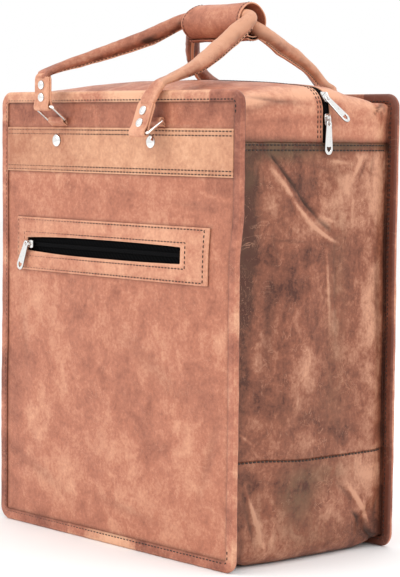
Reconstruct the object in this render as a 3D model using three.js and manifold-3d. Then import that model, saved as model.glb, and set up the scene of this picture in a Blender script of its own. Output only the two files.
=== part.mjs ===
// Leather shopper bag: two flat panels, a gusset of strips and side panels sewn between them inside
// rolled edge bindings, a zip across the domed top, a zipped welt pocket in front, and two rolled
// handles held by wire rings and riveted chapes.
// Millimetres, +Z up, +X to the right seen from the front, front panel towards -Y.
// The origin is on the ground, under the middle of the bag.

import * as THREE from 'three';
import Module from 'manifold-3d';
import { mergeVertices } from 'three/addons/utils/BufferGeometryUtils.js';

const wasm = await Module();
wasm.setup();

// Body
const bodyWidth = 380;
const bodyHeight = 460;
const bodyDepth = 210;
const outerCornerRadius = 14;
const leather = 1.4;
const gap = 0.3;

// Edge binding: a folded strip with the panel edge and the gusset flange inside it
const bindingWidth = 11.5;
const bindingRearWidth = 10;
const bindingWall = 1.2;
const bindingSlot = 2 * leather + 3 * gap;
const bindingThickness = bindingSlot + 2 * bindingWall;

// Gusset form, all measured from the seam line along the bindings
const topRise = 24.5;
const topRiseAtCorner = 17;
const sideSwell = 4;
const topCornerRadius = 24;
const bottomCornerRadius = 20;
const upperSeamDrop = 49.5;
const lowerSeamHeight = 101;

// Panels; a drop is a distance below the body's top
const panelSwell = 2.4;
const bandDrop = 37;
const bandHeight = 46;

// Welt pocket on the front panel, and the zip's window in it
const weltDrop = 131.5;
const weltWidth = 308;
const weltHeight = 55.8;
const weltCentreX = -6;
const windowWidth = 248;
const windowHeight = 19.1;
const windowCentreX = -19;
const windowDrop = 150.3;
const pocketTapeMargin = 8;

// Zips
const zipCentre = 12;
const zipSlot = 9;
const tapeWidth = 28;
const tapeThickness = 0.9;
const chainWidth = 5;
const chainHeight = 1.8;
const tapeTuck = 8;

// Zip sliders and pulls
const sliderLength = 12;
const sliderWidth = 8.6;
const sliderPlate = 1.6;
const sliderFootWidth = 5.6;
const bridgeWidth = 1.4;
const bridgeWire = 0.9;
const bridgeClear = 3.6;
const bridgeLength = 8.6;
const pullLength = 30;
const pullThickness = 1.2;
const pullTopWidth = 7.4;
const pullEndWidth = 10.8;
const pullEyeDiameter = 3.2;
const lowerSliderDrop = 27.3;
const upperSliderDrop = 6;
const upperPullSwing = 32;
const pocketSliderInset = 8;
const pocketPullSwing = 24;

// Handle hardware
const leftMountX = -88;
const rightMountX = 66.5;
const chapeLeather = 1.6;
const chapeWidth = 24.5;
const chapeEyeDrop = 29.6;
const chapeTail = 26;
const chapeRivetDrop = 50.5;
const chapeRivetHead = 13;
const ringWire = 3;
const ringWidth = 29;
const ringLength = 23;
const ringCorner = 2;
const tabWidth = 22.5;
const tabLeather = 1.6;
const tabThickness = 5;
const tabLength = 32;
const tabRivetHead = 9.5;
const tabRivetHeights = [9.5, 22.2];
const rivetShank = 3;
const rivetClear = 0.3;
const rivetWasher = 1.2;

// Handles and the wrap that holds the two grips together
const gripRise = 73;
const gripStagger = 2.5;
const gripDiameter = 14.5;
const gripSpacing = 15.2;
const finDepth = 3.6;
const wrapStart = -1;
const wrapEnd = 87;
const wrapWidth = 37.6;
const wrapHeight = 38;
// The wrap hangs this far below the grips' middle
const wrapDrop = 2.5;
const wrapLeather = 1.4;
const wrapOverlap = 14;
const closureThickness = 0.8;
// The handles turn down this far outside the wrap's ends
const mouthRun = 12;

// How finely round pieces are faceted
const ringSides = 6;
const handleSides = 9;

const radians = THREE.MathUtils.degToRad;
const lerp = THREE.MathUtils.lerp;

// Worked out from the sizes above
const seamHalfWidth = bodyWidth / 2 - bindingWidth;
const seamCornerRadius = Math.max(outerCornerRadius - bindingWidth, 0.5);
const seamBottom = bindingWidth;
const seamTop = bodyHeight - bindingWidth;
const flangeReach = bindingWidth - bindingWall - 2 * gap;
const panelInset = bindingWall + 2 * gap;
const panelFace = -bodyDepth / 2 - bindingSlot / 2 + gap;
const panelBack = panelFace + leather;
const flangeFace = -bodyDepth / 2 + bindingSlot / 2 - gap;
const gussetHalfDepth = -flangeFace;
const bandFace = panelFace - gap - leather;
// How far the top of the main zip's chain stands below the strips' outer face; negative is proud of it
const chainTopInset = leather + gap - chainHeight;
const cornerEnd = seamHalfWidth + sideSwell - topCornerRadius;
const upperSeamHeight = bodyHeight - upperSeamDrop;
const bandTop = bodyHeight - bandDrop;
const bandBottom = bandTop - bandHeight;
const weltTop = bodyHeight - weltDrop;
const weltBottom = weltTop - weltHeight;
const weltLeft = weltCentreX - weltWidth / 2;
const weltRight = weltCentreX + weltWidth / 2;
const windowTop = bodyHeight - windowDrop;
const windowBottom = windowTop - windowHeight;
const windowLeft = windowCentreX - windowWidth / 2;
const windowRight = windowCentreX + windowWidth / 2;
const pocketSliderX = windowLeft + pocketSliderInset;
const chapeEyeHeight = bodyHeight - chapeEyeDrop;
const chapeRivetHeight = bodyHeight - chapeRivetDrop;
const gripHeight = bodyHeight + gripRise;

// Finishes
const mainLeather = { color: 0xb9785c, roughness: 0.55, metalness: 0 };
const lightLeather = { color: 0xd9a67f, roughness: 0.55, metalness: 0 };
const darkLeather = { color: 0x96664f, roughness: 0.6, metalness: 0 };
const edgeLeather = { color: 0xc88b69, roughness: 0.5, metalness: 0 };
const zipBlack = { color: 0x17171a, roughness: 0.85, metalness: 0 };
const brightNickel = { color: 0xd8d8d6, roughness: 0.22, metalness: 1 };

const bag = new THREE.Group();
bag.name = 'leather_shopper_bag';

function addPiece(name, geometry, finish, parent = bag) {
  const mesh = new THREE.Mesh(geometry, new THREE.MeshStandardMaterial(finish));
  mesh.name = name;
  parent.add(mesh);
  return mesh;
}

// A closed geometry from points and triangles, turned the right way out if its volume is negative
function closedGeometry(points, triangles) {
  let volume = 0;
  for (const [a, b, c] of triangles) {
    volume += points[a].dot(new THREE.Vector3().crossVectors(points[b], points[c]));
  }
  const index = volume < 0 ? triangles.flatMap(([a, b, c]) => [a, c, b]) : triangles.flat();
  const geometry = new THREE.BufferGeometry();
  geometry.setAttribute('position', new THREE.Float32BufferAttribute(points.flatMap((p) => p.toArray()), 3));
  geometry.setIndex(index);
  return geometry;
}

function toSolid(geometry) {
  const bare = geometry.clone();
  for (const name of Object.keys(bare.attributes)) {
    if (name !== 'position') bare.deleteAttribute(name);
  }
  const merged = mergeVertices(bare, 1e-4);
  const vertProperties = new Float32Array(merged.attributes.position.array);
  const triVerts = new Uint32Array(merged.index.array);
  return new wasm.Manifold(new wasm.Mesh({ numProp: 3, vertProperties, triVerts }));
}

function toGeometry(solid) {
  const mesh = solid.getMesh();
  const geometry = new THREE.BufferGeometry();
  geometry.setAttribute('position', new THREE.Float32BufferAttribute(mesh.vertProperties, 3));
  geometry.setIndex(new THREE.Uint32BufferAttribute(mesh.triVerts, 1));
  return geometry;
}

function join(...geometries) {
  return toGeometry(geometries.map(toSolid).reduce((whole, piece) => whole.add(piece)));
}

function cut(geometry, ...cutters) {
  return toGeometry(cutters.map(toSolid).reduce((rest, cutter) => rest.subtract(cutter), toSolid(geometry)));
}

// A box given by its lowest and highest corners
function boxBetween(low, high) {
  const box = new THREE.BoxGeometry(high[0] - low[0], high[1] - low[1], high[2] - low[2]);
  return box.translate((low[0] + high[0]) / 2, (low[1] + high[1]) / 2, (low[2] + high[2]) / 2);
}

// Triangles between rows of equally many points; each row and the list of rows may close on itself
function skin(rowCount, rowLength, closeRows, closeEach, firstPoint = 0) {
  const triangles = [];
  const rows = closeRows ? rowCount : rowCount - 1;
  const columns = closeEach ? rowLength : rowLength - 1;
  for (let i = 0; i < rows; i += 1) {
    for (let j = 0; j < columns; j += 1) {
      const a = firstPoint + i * rowLength + j;
      const b = firstPoint + i * rowLength + ((j + 1) % rowLength);
      const c = firstPoint + ((i + 1) % rowCount) * rowLength + ((j + 1) % rowLength);
      const d = firstPoint + ((i + 1) % rowCount) * rowLength + j;
      triangles.push([a, b, c], [a, c, d]);
    }
  }
  return triangles;
}

// A tube or bar through closed sections, either a loop or with flat ends
function loft(sections, loop = false) {
  const length = sections[0].length;
  const points = sections.flat();
  const triangles = skin(sections.length, length, loop, true);
  if (!loop) {
    const last = (sections.length - 1) * length;
    for (let k = 1; k < length - 1; k += 1) {
      triangles.push([0, k + 1, k], [last, last + k, last + k + 1]);
    }
  }
  return closedGeometry(points, triangles);
}

// A sheet with walls: two grids of points, outside and inside, sewn together round their edge
function sheet(outside, inside) {
  const rows = outside.length;
  const columns = outside[0].length;
  const points = [...outside.flat(), ...inside.flat()];
  const back = rows * columns;
  const triangles = [
    ...skin(rows, columns, false, false),
    ...skin(rows, columns, false, false, back).map(([a, b, c]) => [a, c, b]),
  ];
  const rim = [];
  for (let j = 0; j < columns - 1; j += 1) rim.push(j);
  for (let i = 0; i < rows - 1; i += 1) rim.push(i * columns + columns - 1);
  for (let j = columns - 1; j > 0; j -= 1) rim.push((rows - 1) * columns + j);
  for (let i = rows - 1; i > 0; i -= 1) rim.push(i * columns);
  rim.forEach((a, k) => {
    const b = rim[(k + 1) % rim.length];
    triangles.push([a, a + back, b], [b, a + back, b + back]);
  });
  return closedGeometry(points, triangles);
}

// Inward copy of a grid of points, at a distance set for each column, square to the surface
function offsetGrid(grid, distances, towards) {
  const rows = grid.length;
  const columns = grid[0].length;
  return grid.map((row, i) => row.map((point, j) => {
    const normals = [];
    for (const [di, dj] of [[1, 1], [1, -1], [-1, 1], [-1, -1]]) {
      const alongRow = grid[i][j + dj];
      const acrossRows = grid[i + di] && grid[i + di][j];
      if (!alongRow || !acrossRows) continue;
      const u = alongRow.clone().sub(point).multiplyScalar(dj);
      const v = acrossRows.clone().sub(point).multiplyScalar(di);
      normals.push(u.cross(v).normalize());
    }
    const mean = normals.reduce((sum, n) => sum.add(n), new THREE.Vector3()).normalize();
    const lean = normals.reduce((sum, n) => sum + n.dot(mean), 0) / normals.length;
    const sign = rows > 1 && columns > 1 ? towards : 1;
    return point.clone().addScaledVector(mean, (sign * distances[j]) / Math.max(lean, 0.6));
  }));
}

// Gusset form: a station is a place along the edge outline, a row is a place across the depth

// Place across the depth, from -1 at the front seam to 1 at the rear one, as a swell of 0 to 1
function swellAt(share) {
  return 1 - Math.abs(share) ** 3;
}

// The bottom sags flat between the seams
function sagAt(share) {
  const rise = Math.min(1, (1 - Math.abs(share)) / 0.34);
  return rise * rise * (3 - 2 * rise);
}

function gussetRow(y) {
  const share = y / gussetHalfDepth;
  return { y, outset: 0, swell: swellAt(share), sag: sagAt(share) };
}

function flangeRow(side, outset) {
  return { y: side * gussetHalfDepth, outset, swell: 0, sag: 0 };
}

function halfWidthAt(height, row) {
  const middle = (seamBottom + seamTop) / 2;
  const share = Math.min(1, Math.abs(height - middle) / (middle - seamBottom - bottomCornerRadius));
  const shape = lerp(1, 0.55, share * share);
  return seamHalfWidth + row.outset + sideSwell * shape * row.swell;
}

function topAt(x, row) {
  const share = Math.min(1, Math.abs(x) / cornerEnd);
  const rise = lerp(topRise, topRiseAtCorner, share * share);
  return seamTop + row.outset + rise * row.swell;
}

// Main folds and dents of the gusset, pressed in square to it
// side: -1 left, 1 right; across: place from the front seam, -1, to the rear, 1;
// up: share of the body height; deep: share of the leather wall; long, wide: shares of the body depth
const gussetFolds = [
  { side: 1, across: 0.8, up: 0.07, deep: 5.5, long: 0.16, wide: 0.06, lean: -42 },
  { side: 1, across: 0.9, up: 0.965, deep: 3.2, long: 0.09, wide: 0.06, lean: 35 },
  { side: 1, across: -0.1, up: 0.78, deep: 1.6, long: 0.3, wide: 0.1, lean: -48 },
  { side: 1, across: 0.35, up: 0.45, deep: 1.8, long: 0.5, wide: 0.2, lean: 8 },
  { side: -1, across: 0.1, up: 0.4, deep: 2.0, long: 0.5, wide: 0.2, lean: -6 },
  { side: -1, across: -0.75, up: 0.08, deep: 3.5, long: 0.16, wide: 0.07, lean: 40 },
];

function foldDepth(side, y, z) {
  let depth = 0;
  for (const fold of gussetFolds) {
    if (fold.side !== side) continue;
    const dy = y - fold.across * gussetHalfDepth;
    const dz = z - fold.up * bodyHeight;
    const lean = radians(fold.lean);
    const along = (dz * Math.cos(lean) - dy * Math.sin(lean)) / (fold.long * bodyDepth);
    const across = (dz * Math.sin(lean) + dy * Math.cos(lean)) / (fold.wide * bodyDepth);
    depth += fold.deep * leather * Math.exp(-(along * along + across * across) * 2);
  }
  return depth;
}

function gussetPoint(station, row) {
  const seamRadius = seamCornerRadius + row.outset;
  if (station.kind === 'side') {
    const edge = 1 - Math.abs(row.y) / gussetHalfDepth;
    const depth = row.outset > 0 ? 0 : foldDepth(station.side, row.y, station.z) * Math.min(1, edge * 5);
    const x = halfWidthAt(station.z, row) - depth;
    return new THREE.Vector3(station.side * x, row.y, station.z);
  }
  if (station.kind === 'top') {
    return new THREE.Vector3(station.x, row.y, topAt(station.x, row));
  }
  if (station.kind === 'bottom') {
    const z = (seamBottom - row.outset) * (1 - row.sag);
    return new THREE.Vector3(station.x, row.y, z);
  }
  const angle = radians(station.angle);
  const atTop = station.kind === 'top corner';
  const softness = atTop ? row.swell : row.sag;
  const softRadius = atTop ? topCornerRadius : bottomCornerRadius;
  const radius = lerp(seamRadius, softRadius, softness);
  const top = topAt(cornerEnd, row);
  const bottom = (seamBottom - row.outset) * (1 - row.sag);
  const height = atTop ? top - radius : bottom + radius;
  const halfWidth = halfWidthAt(height, row);
  const x = station.side * (halfWidth - radius + radius * Math.cos(angle));
  const z = atTop ? height + radius * Math.sin(angle) : height - radius * Math.sin(angle);
  return new THREE.Vector3(x, row.y, z);
}

function evenly(from, to, steps) {
  return Array.from({ length: steps + 1 }, (_, k) => lerp(from, to, k / steps));
}

// Turns in degrees that share a full circle, from a first one
const turnsOf = (sides, first) => evenly(0, 360, sides).slice(0, -1).map((turn) => first + turn);

const sideStations = (side, from, to, steps) => evenly(from, to, steps)
  .map((z) => ({ kind: 'side', side, z }));
const cornerStations = (kind, side, steps) => evenly(0, 90, steps)
  .map((angle) => ({ kind, side, angle }));

// Highest and lowest place where a side is still straight, clear of the rounded corners
const sideTop = seamTop - seamCornerRadius - 2;
const sideBottom = bottomCornerRadius + seamBottom + 2;

function overTheTop(lowest) {
  return [
    ...sideStations(1, lowest, sideTop - 4, 2),
    ...cornerStations('top corner', 1, 4),
    ...evenly(cornerEnd * 0.8, -cornerEnd * 0.8, 6).map((x) => ({ kind: 'top', x })),
    ...cornerStations('top corner', -1, 4).reverse(),
    ...sideStations(-1, sideTop - 4, lowest, 2),
  ];
}

function underTheBottom(highest) {
  const bottomEnd = (seamHalfWidth - bottomCornerRadius) * 0.96;
  return [
    ...sideStations(1, highest, sideBottom, 3),
    ...cornerStations('bottom corner', 1, 4),
    ...evenly(bottomEnd, -bottomEnd, 4).map((x) => ({ kind: 'bottom', x })),
    ...cornerStations('bottom corner', -1, 4).reverse(),
    ...sideStations(-1, sideBottom, highest, 3),
  ];
}

// A piece of the gusset: outer face moved in by `inset`, walls of `wall`, given for each row
function gussetPiece(stations, rows, inset, wall) {
  const base = stations.map((station) => rows.map((row) => gussetPoint(station, row)));
  const middle = Math.floor(rows.length / 2);
  const first = base[0][middle];
  const probe = offsetGrid(base, rows.map(() => 1), 1)[0][middle];
  const inwards = Math.abs(probe.x) < Math.abs(first.x) ? 1 : -1;
  const insets = rows.map((row) => row.inset ?? inset);
  const walls = rows.map((row, j) => insets[j] + (row.wall ?? wall));
  return sheet(offsetGrid(base, insets, inwards), offsetGrid(base, walls, inwards));
}

const flangeOutset = flangeReach - gap;
const frontRows = [flangeRow(-1, flangeOutset), flangeRow(-1, 0)];
const rearRows = [flangeRow(1, 0), flangeRow(1, flangeOutset)];
const innerRow = (share) => gussetRow(share * gussetHalfDepth);

const sideRows = [...frontRows, ...[-0.9, -0.7, -0.4, 0, 0.4, 0.66, 0.8, 0.92].map(innerRow), ...rearRows];
const baseRows = [...frontRows, ...[-0.9, -0.68, 0, 0.68, 0.84].map(innerRow), ...rearRows];

function buildGusset() {
  const slotFront = zipCentre - zipSlot / 2;
  const slotRear = zipCentre + zipSlot / 2;
  const above = overTheTop(upperSeamHeight + gap / 2);
  const tapeFront = gussetRow(zipCentre - tapeWidth / 2);
  const tapeRear = gussetRow(zipCentre + tapeWidth / 2);
  const frontStrip = [...frontRows, ...[-0.9, -0.68, -0.36].map(innerRow), tapeFront, gussetRow(slotFront)];
  const rearStrip = [gussetRow(slotRear), tapeRear, ...[0.6, 0.86].map(innerRow), ...rearRows];
  addPiece('top_strip_front', gussetPiece(above, frontStrip, 0, leather), mainLeather);
  addPiece('top_strip_back', gussetPiece(above, rearStrip, 0, leather), mainLeather);

  for (const [name, side] of [['side_panel_right', 1], ['side_panel_left', -1]]) {
    const stations = sideStations(side, lowerSeamHeight + gap / 2, upperSeamHeight - gap / 2, 7);
    addPiece(name, gussetPiece(stations, sideRows, 0, leather), darkLeather);
  }
  addPiece('base_panel', gussetPiece(underTheBottom(lowerSeamHeight - gap / 2), baseRows, 0, leather), darkLeather);

  const tapeInset = leather + 2 * gap;
  const tapeRows = [tapeFront, gussetRow(zipCentre), tapeRear];
  const tape = gussetPiece(overTheTop(upperSeamHeight - tapeTuck), tapeRows, tapeInset, tapeThickness);
  addPiece('main_zip_tape', tape, zipBlack);

  const chainBottom = tapeInset - gap;
  const edgeWall = chainHeight * 0.5;
  const chainRows = [
    { ...gussetRow(zipCentre - chainWidth / 2), inset: chainBottom - edgeWall, wall: edgeWall },
    { ...gussetRow(zipCentre), inset: chainTopInset, wall: chainHeight },
    { ...gussetRow(zipCentre + chainWidth / 2), inset: chainBottom - edgeWall, wall: edgeWall },
  ];
  addPiece('main_zip_chain', gussetPiece(overTheTop(upperSeamHeight + 1), chainRows, 0, leather), zipBlack);
}

// Rounded edge outline at an inset from the body's outer size, as equally many points for any inset
function edgeOutline(inset) {
  const radius = Math.max(outerCornerRadius - inset, 0.5);
  const right = bodyWidth / 2 - inset;
  const top = bodyHeight - inset;
  const points = [];
  const corners = [
    { x: right - radius, z: inset + radius, start: -90 },
    { x: right - radius, z: top - radius, start: 0 },
    { x: radius - right, z: top - radius, start: 90 },
    { x: radius - right, z: inset + radius, start: 180 },
  ];
  for (const corner of corners) {
    for (const turn of evenly(0, 90, 4)) {
      const angle = radians(corner.start + turn);
      points.push([corner.x + radius * Math.cos(angle), corner.z + radius * Math.sin(angle)]);
    }
  }
  return points;
}

// Folded strip round the edge: a U with its slot open towards the middle of the panel
function bindingGeometry() {
  const half = bindingThickness / 2;
  const slotHalf = bindingSlot / 2;
  const soft = bindingWall / 2;
  const profile = [
    [bindingWidth, -slotHalf],
    [bindingWidth, soft - half],
    [bindingWidth - soft, -half],
    ...evenly(-90, 90, 3).map((turn) => [
      half - half * Math.cos(radians(turn)),
      half * Math.sin(radians(turn)),
    ]),
    [bindingRearWidth - soft, half],
    [bindingRearWidth, half - soft],
    [bindingRearWidth, slotHalf],
    [bindingWall + gap / 2, slotHalf],
    [bindingWall + gap / 2, -slotHalf],
  ];
  const rings = profile.map(([inset, y]) => edgeOutline(inset).map(([x, z]) => new THREE.Vector3(x, y, z)));
  const sections = rings[0].map((_, k) => rings.map((ring) => ring[k]));
  return loft(sections, true);
}

function panelRise(x, z) {
  const across = Math.min(1, Math.abs(x) / seamHalfWidth);
  const middle = bodyHeight / 2;
  const up = Math.min(1, Math.abs(z - middle) / (middle - seamBottom));
  return panelSwell * (1 - across * across) * (1 - up * up);
}

// A flat piece that lies on the front, following the panel's swell
function frontSheet(columns, heights, face, wall, halfWidthOf = () => 1) {
  const grid = (y) => heights.map((z) => columns.map((x) => {
    const px = x * halfWidthOf(z);
    return new THREE.Vector3(px, y - panelRise(px, z), z);
  }));
  return sheet(grid(face), grid(face + wall));
}

function panelGeometry() {
  const radius = outerCornerRadius - panelInset;
  const halfWidth = bodyWidth / 2 - panelInset;
  const low = panelInset;
  const high = bodyHeight - panelInset;
  const cornerShares = [0, 0.15, 0.5, 1];
  const heights = [
    ...cornerShares.map((share) => low + radius * share),
    ...evenly(0, 1, 6).slice(1, -1).map((share) => lerp(low + radius, high - radius, share)),
    ...cornerShares.map((share) => high - radius * share).reverse(),
  ];
  const narrowing = (z) => {
    const into = Math.min(z - low, high - z, radius);
    const reach = radius - into;
    return (halfWidth - radius + Math.sqrt(Math.max(radius * radius - reach * reach, 0))) / halfWidth;
  };
  const columns = evenly(-halfWidth, halfWidth, 6);
  return frontSheet(columns, heights, panelFace, leather, narrowing);
}

// A hole through everything that lies in front, square to the panel
function frontHole(x, z, diameter) {
  const hole = new THREE.CylinderGeometry(diameter / 2, diameter / 2, bodyDepth / 2, 8);
  return hole.translate(x, panelFace, z);
}

const mountPlaces = [leftMountX, rightMountX];
const chapeNeck = 2 * chapeLeather;
const chapeEyeRadius = ringWire / 2 + gap;
const chapeEyeOuter = chapeEyeRadius + chapeLeather;
const chapeEyeOut = gap + chapeEyeOuter;
// The panel curves between the chape's eye and its rivet, so the tail hangs this far behind it
const chapeClear = 2 * gap;
const chapeNeckTop = chapeEyeHeight - chapeEyeOuter;
const chapeSlotLow = chapeNeckTop - chapeNeck - gap;

function buildPanel(prefix, side, parent) {
  const slots = mountPlaces.map((x) => boxBetween(
    [side * x - chapeWidth / 2 - gap, panelFace - panelSwell - leather, chapeSlotLow],
    [side * x + chapeWidth / 2 + gap, panelBack + leather, chapeNeckTop + gap],
  ));
  const rivetHoles = Object.values(handleEnds)
    .filter((end) => end.side === -side)
    .map((end) => frontHole(side * (end.x + end.rivetAside), chapeRivetHeight, rivetShank + 2 * rivetClear));
  const cutters = [...slots, ...rivetHoles];
  if (prefix === 'front') {
    cutters.push(boxBetween(
      [windowLeft - gap, panelFace - 2 * panelSwell - leather, windowBottom - gap],
      [windowRight + gap, panelBack + leather, windowTop + gap],
    ));
  }
  addPiece(`${prefix}_panel`, cut(panelGeometry(), ...cutters), mainLeather, parent);

  const reach = seamHalfWidth - gap;
  const band = frontSheet(evenly(-reach, reach, 6), evenly(bandBottom, bandTop, 2), bandFace, leather);
  addPiece(`${prefix}_band`, cut(band, ...rivetHoles), lightLeather, parent);
}

function roundedRectangle(width, height, radius) {
  const shape = new THREE.Shape();
  const x = width / 2;
  const y = height / 2;
  shape.moveTo(x, radius - y);
  shape.lineTo(x, y - radius);
  shape.absarc(x - radius, y - radius, radius, 0, Math.PI / 2, false);
  shape.lineTo(radius - x, y);
  shape.absarc(radius - x, y - radius, radius, Math.PI / 2, Math.PI, false);
  shape.lineTo(-x, radius - y);
  shape.absarc(radius - x, radius - y, radius, Math.PI, 1.5 * Math.PI, false);
  shape.lineTo(x - radius, -y);
  shape.absarc(x - radius, radius - y, radius, 1.5 * Math.PI, 2 * Math.PI, false);
  return shape;
}

function buildWeltPocket() {
  const width = windowRight - windowLeft;
  const height = windowTop - windowBottom;
  const centreX = (windowRight + windowLeft) / 2;
  const centreZ = (windowTop + windowBottom) / 2;
  const columns = evenly(weltLeft, weltRight, 7);
  const welt = frontSheet(columns, evenly(weltBottom, weltTop, 2), bandFace, leather);
  const window = new THREE.ExtrudeGeometry(roundedRectangle(width, height, height / 4), {
    depth: bodyDepth / 4,
    bevelEnabled: false,
    curveSegments: 3,
  });
  window.rotateX(Math.PI / 2).translate(centreX, panelBack + leather, centreZ);
  addPiece('pocket_welt', cut(welt, window), mainLeather);

  const tapeFace = panelBack + gap;
  const tapeColumns = evenly(windowLeft - pocketTapeMargin, windowRight + pocketTapeMargin, 6);
  const tapeHeights = [windowBottom - pocketTapeMargin, centreZ, windowTop + pocketTapeMargin];
  addPiece('pocket_zip_tape', frontSheet(tapeColumns, tapeHeights, tapeFace, tapeThickness), zipBlack);

  const chainFace = tapeFace - gap - chainHeight;
  const chainColumns = evenly(windowLeft + gap, windowRight - gap, 6);
  const chainHeights = [centreZ - chainWidth / 2, centreZ, centreZ + chainWidth / 2];
  addPiece('pocket_zip_chain', frontSheet(chainColumns, chainHeights, chainFace, chainHeight), zipBlack);
}

function extrudeCentred(shape, thickness, curveSegments = 6) {
  const geometry = new THREE.ExtrudeGeometry(shape, { depth: thickness, bevelEnabled: false, curveSegments });
  return geometry.translate(0, 0, -thickness / 2);
}

// Slider in its own frame: y along the zip, z out of it, x across; z = 0 is the top of the chain
function sliderGeometry(footHeight) {
  const plate = roundedRectangle(sliderWidth, sliderLength, sliderWidth * 0.3);
  const body = extrudeCentred(plate, sliderPlate, 3).translate(0, 0, footHeight + sliderPlate / 2);
  const foot = boxBetween(
    [-sliderFootWidth / 2, -sliderLength * 0.4, gap],
    [sliderFootWidth / 2, sliderLength * 0.4, footHeight + sliderPlate / 2],
  );
  const archHeight = bridgeClear + bridgeWire;
  const arch = new THREE.Shape();
  arch.moveTo(-bridgeLength / 2, 0);
  arch.lineTo(-bridgeLength / 2, archHeight - bridgeWire);
  arch.lineTo(bridgeWire - bridgeLength / 2, archHeight);
  arch.lineTo(bridgeLength / 2 - bridgeWire, archHeight);
  arch.lineTo(bridgeLength / 2, archHeight - bridgeWire);
  arch.lineTo(bridgeLength / 2, 0);
  arch.lineTo(bridgeLength / 2 - bridgeWire, 0);
  arch.lineTo(bridgeLength / 2 - bridgeWire, bridgeClear);
  arch.lineTo(bridgeWire - bridgeLength / 2, bridgeClear);
  arch.lineTo(bridgeWire - bridgeLength / 2, 0);
  const bridge = extrudeCentred(arch, bridgeWidth).rotateX(Math.PI / 2).rotateZ(Math.PI / 2);
  bridge.translate(0, 0, footHeight + sliderPlate - gap / 2);
  return join(body, foot, bridge);
}

// Height of a pull's middle above the top of the chain, half way up the bridge's opening
const pullRise = (footHeight) => footHeight + sliderPlate - gap / 2 + bridgeClear / 2;
// The pull's eye goes round the bridge's lower leg
const pullBack = (bridgeLength - bridgeWire) / 2;

// Pull in its own frame: its eye round the origin, hanging towards -y, flat in z
function pullGeometry() {
  const top = pullTopWidth / 2;
  const end = pullEndWidth / 2;
  const chamfer = end * 0.75;
  const outline = new THREE.Shape();
  outline.absarc(0, 0, top, radians(-20), radians(200), false);
  outline.lineTo(-end, chamfer - pullLength);
  outline.lineTo(-end * 0.55, -pullLength);
  outline.lineTo(end * 0.55, -pullLength);
  outline.lineTo(end, chamfer - pullLength);

  const eye = new THREE.Path();
  eye.absarc(0, 0, pullEyeDiameter / 2, 0, 2 * Math.PI, true);

  const slot = new THREE.Path();
  const slotTop = pullEndWidth * 0.72 - pullLength;
  const slotHalf = end * 0.52;
  slot.moveTo(-slotHalf, slotTop);
  slot.lineTo(slotHalf, slotTop);
  slot.lineTo(slotHalf * 0.85, slotTop - slotHalf * 1.1);
  slot.lineTo(0, slotTop - slotHalf * 1.9);
  slot.lineTo(-slotHalf * 0.85, slotTop - slotHalf * 1.1);
  outline.holes.push(eye, slot);
  return extrudeCentred(outline, pullThickness, 5);
}

// A frame on the zip: its axes are the across, along and outward directions
function zipFrame(name, origin, along, outward) {
  const frame = new THREE.Group();
  const across = new THREE.Vector3().crossVectors(along, outward);
  frame.quaternion.setFromRotationMatrix(new THREE.Matrix4().makeBasis(across, along, outward));
  frame.position.copy(origin);
  frame.name = name;
  bag.add(frame);
  return frame;
}

// The pull hangs down the zip, or swung to one side about the bridge's leg
function addSlider(name, frame, footHeight, swing) {
  addPiece(`${name}_slider`, sliderGeometry(footHeight), brightNickel, frame);
  const hinge = new THREE.Group();
  hinge.position.set(0, -pullBack, pullRise(footHeight));
  hinge.rotation.z = swing;
  frame.add(hinge);
  addPiece(`${name}_pull`, pullGeometry(), brightNickel, hinge);
}

function buildSliders() {
  const row = gussetRow(zipCentre);
  for (const [name, height, swing] of [
    ['lower_zip', bodyHeight - lowerSliderDrop, 0],
    ['upper_zip', bodyHeight - upperSliderDrop, radians(upperPullSwing)],
  ]) {
    const below = zipPoint(height - sliderLength / 2, row);
    const above = zipPoint(height + sliderLength / 2, row);
    const along = above.clone().sub(below).normalize();
    const outward = new THREE.Vector3().crossVectors(along, new THREE.Vector3(0, -1, 0)).normalize();
    const origin = zipPoint(height, row).addScaledVector(outward, -chainTopInset);
    const footHeight = 2 * gap + Math.max(0, chainTopInset);
    addSlider(name, zipFrame(`${name}_frame`, origin, along, outward), footHeight, swing);
  }

  const centreZ = (windowTop + windowBottom) / 2;
  const chainFace = panelBack - chainHeight;
  const face = chainFace - panelRise(pocketSliderX, centreZ);
  const origin = new THREE.Vector3(pocketSliderX, face, centreZ);
  const along = new THREE.Vector3(1, 0, 0);
  const frame = zipFrame('pocket_zip_frame', origin, along, new THREE.Vector3(0, -1, 0));
  addSlider('pocket_zip', frame, chainFace - bandFace + gap, radians(90 - pocketPullSwing));
}

// Point on the right-hand run of the zip at a given height, on the side or round its corner
function zipPoint(height, row) {
  const radius = lerp(seamCornerRadius, topCornerRadius, row.swell);
  const cornerStart = topAt(cornerEnd, row) - radius;
  if (height <= cornerStart) {
    return gussetPoint({ kind: 'side', side: 1, z: height }, row);
  }
  const angle = THREE.MathUtils.radToDeg(Math.asin((height - cornerStart) / radius));
  return gussetPoint({ kind: 'top corner', side: 1, angle }, row);
}

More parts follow.
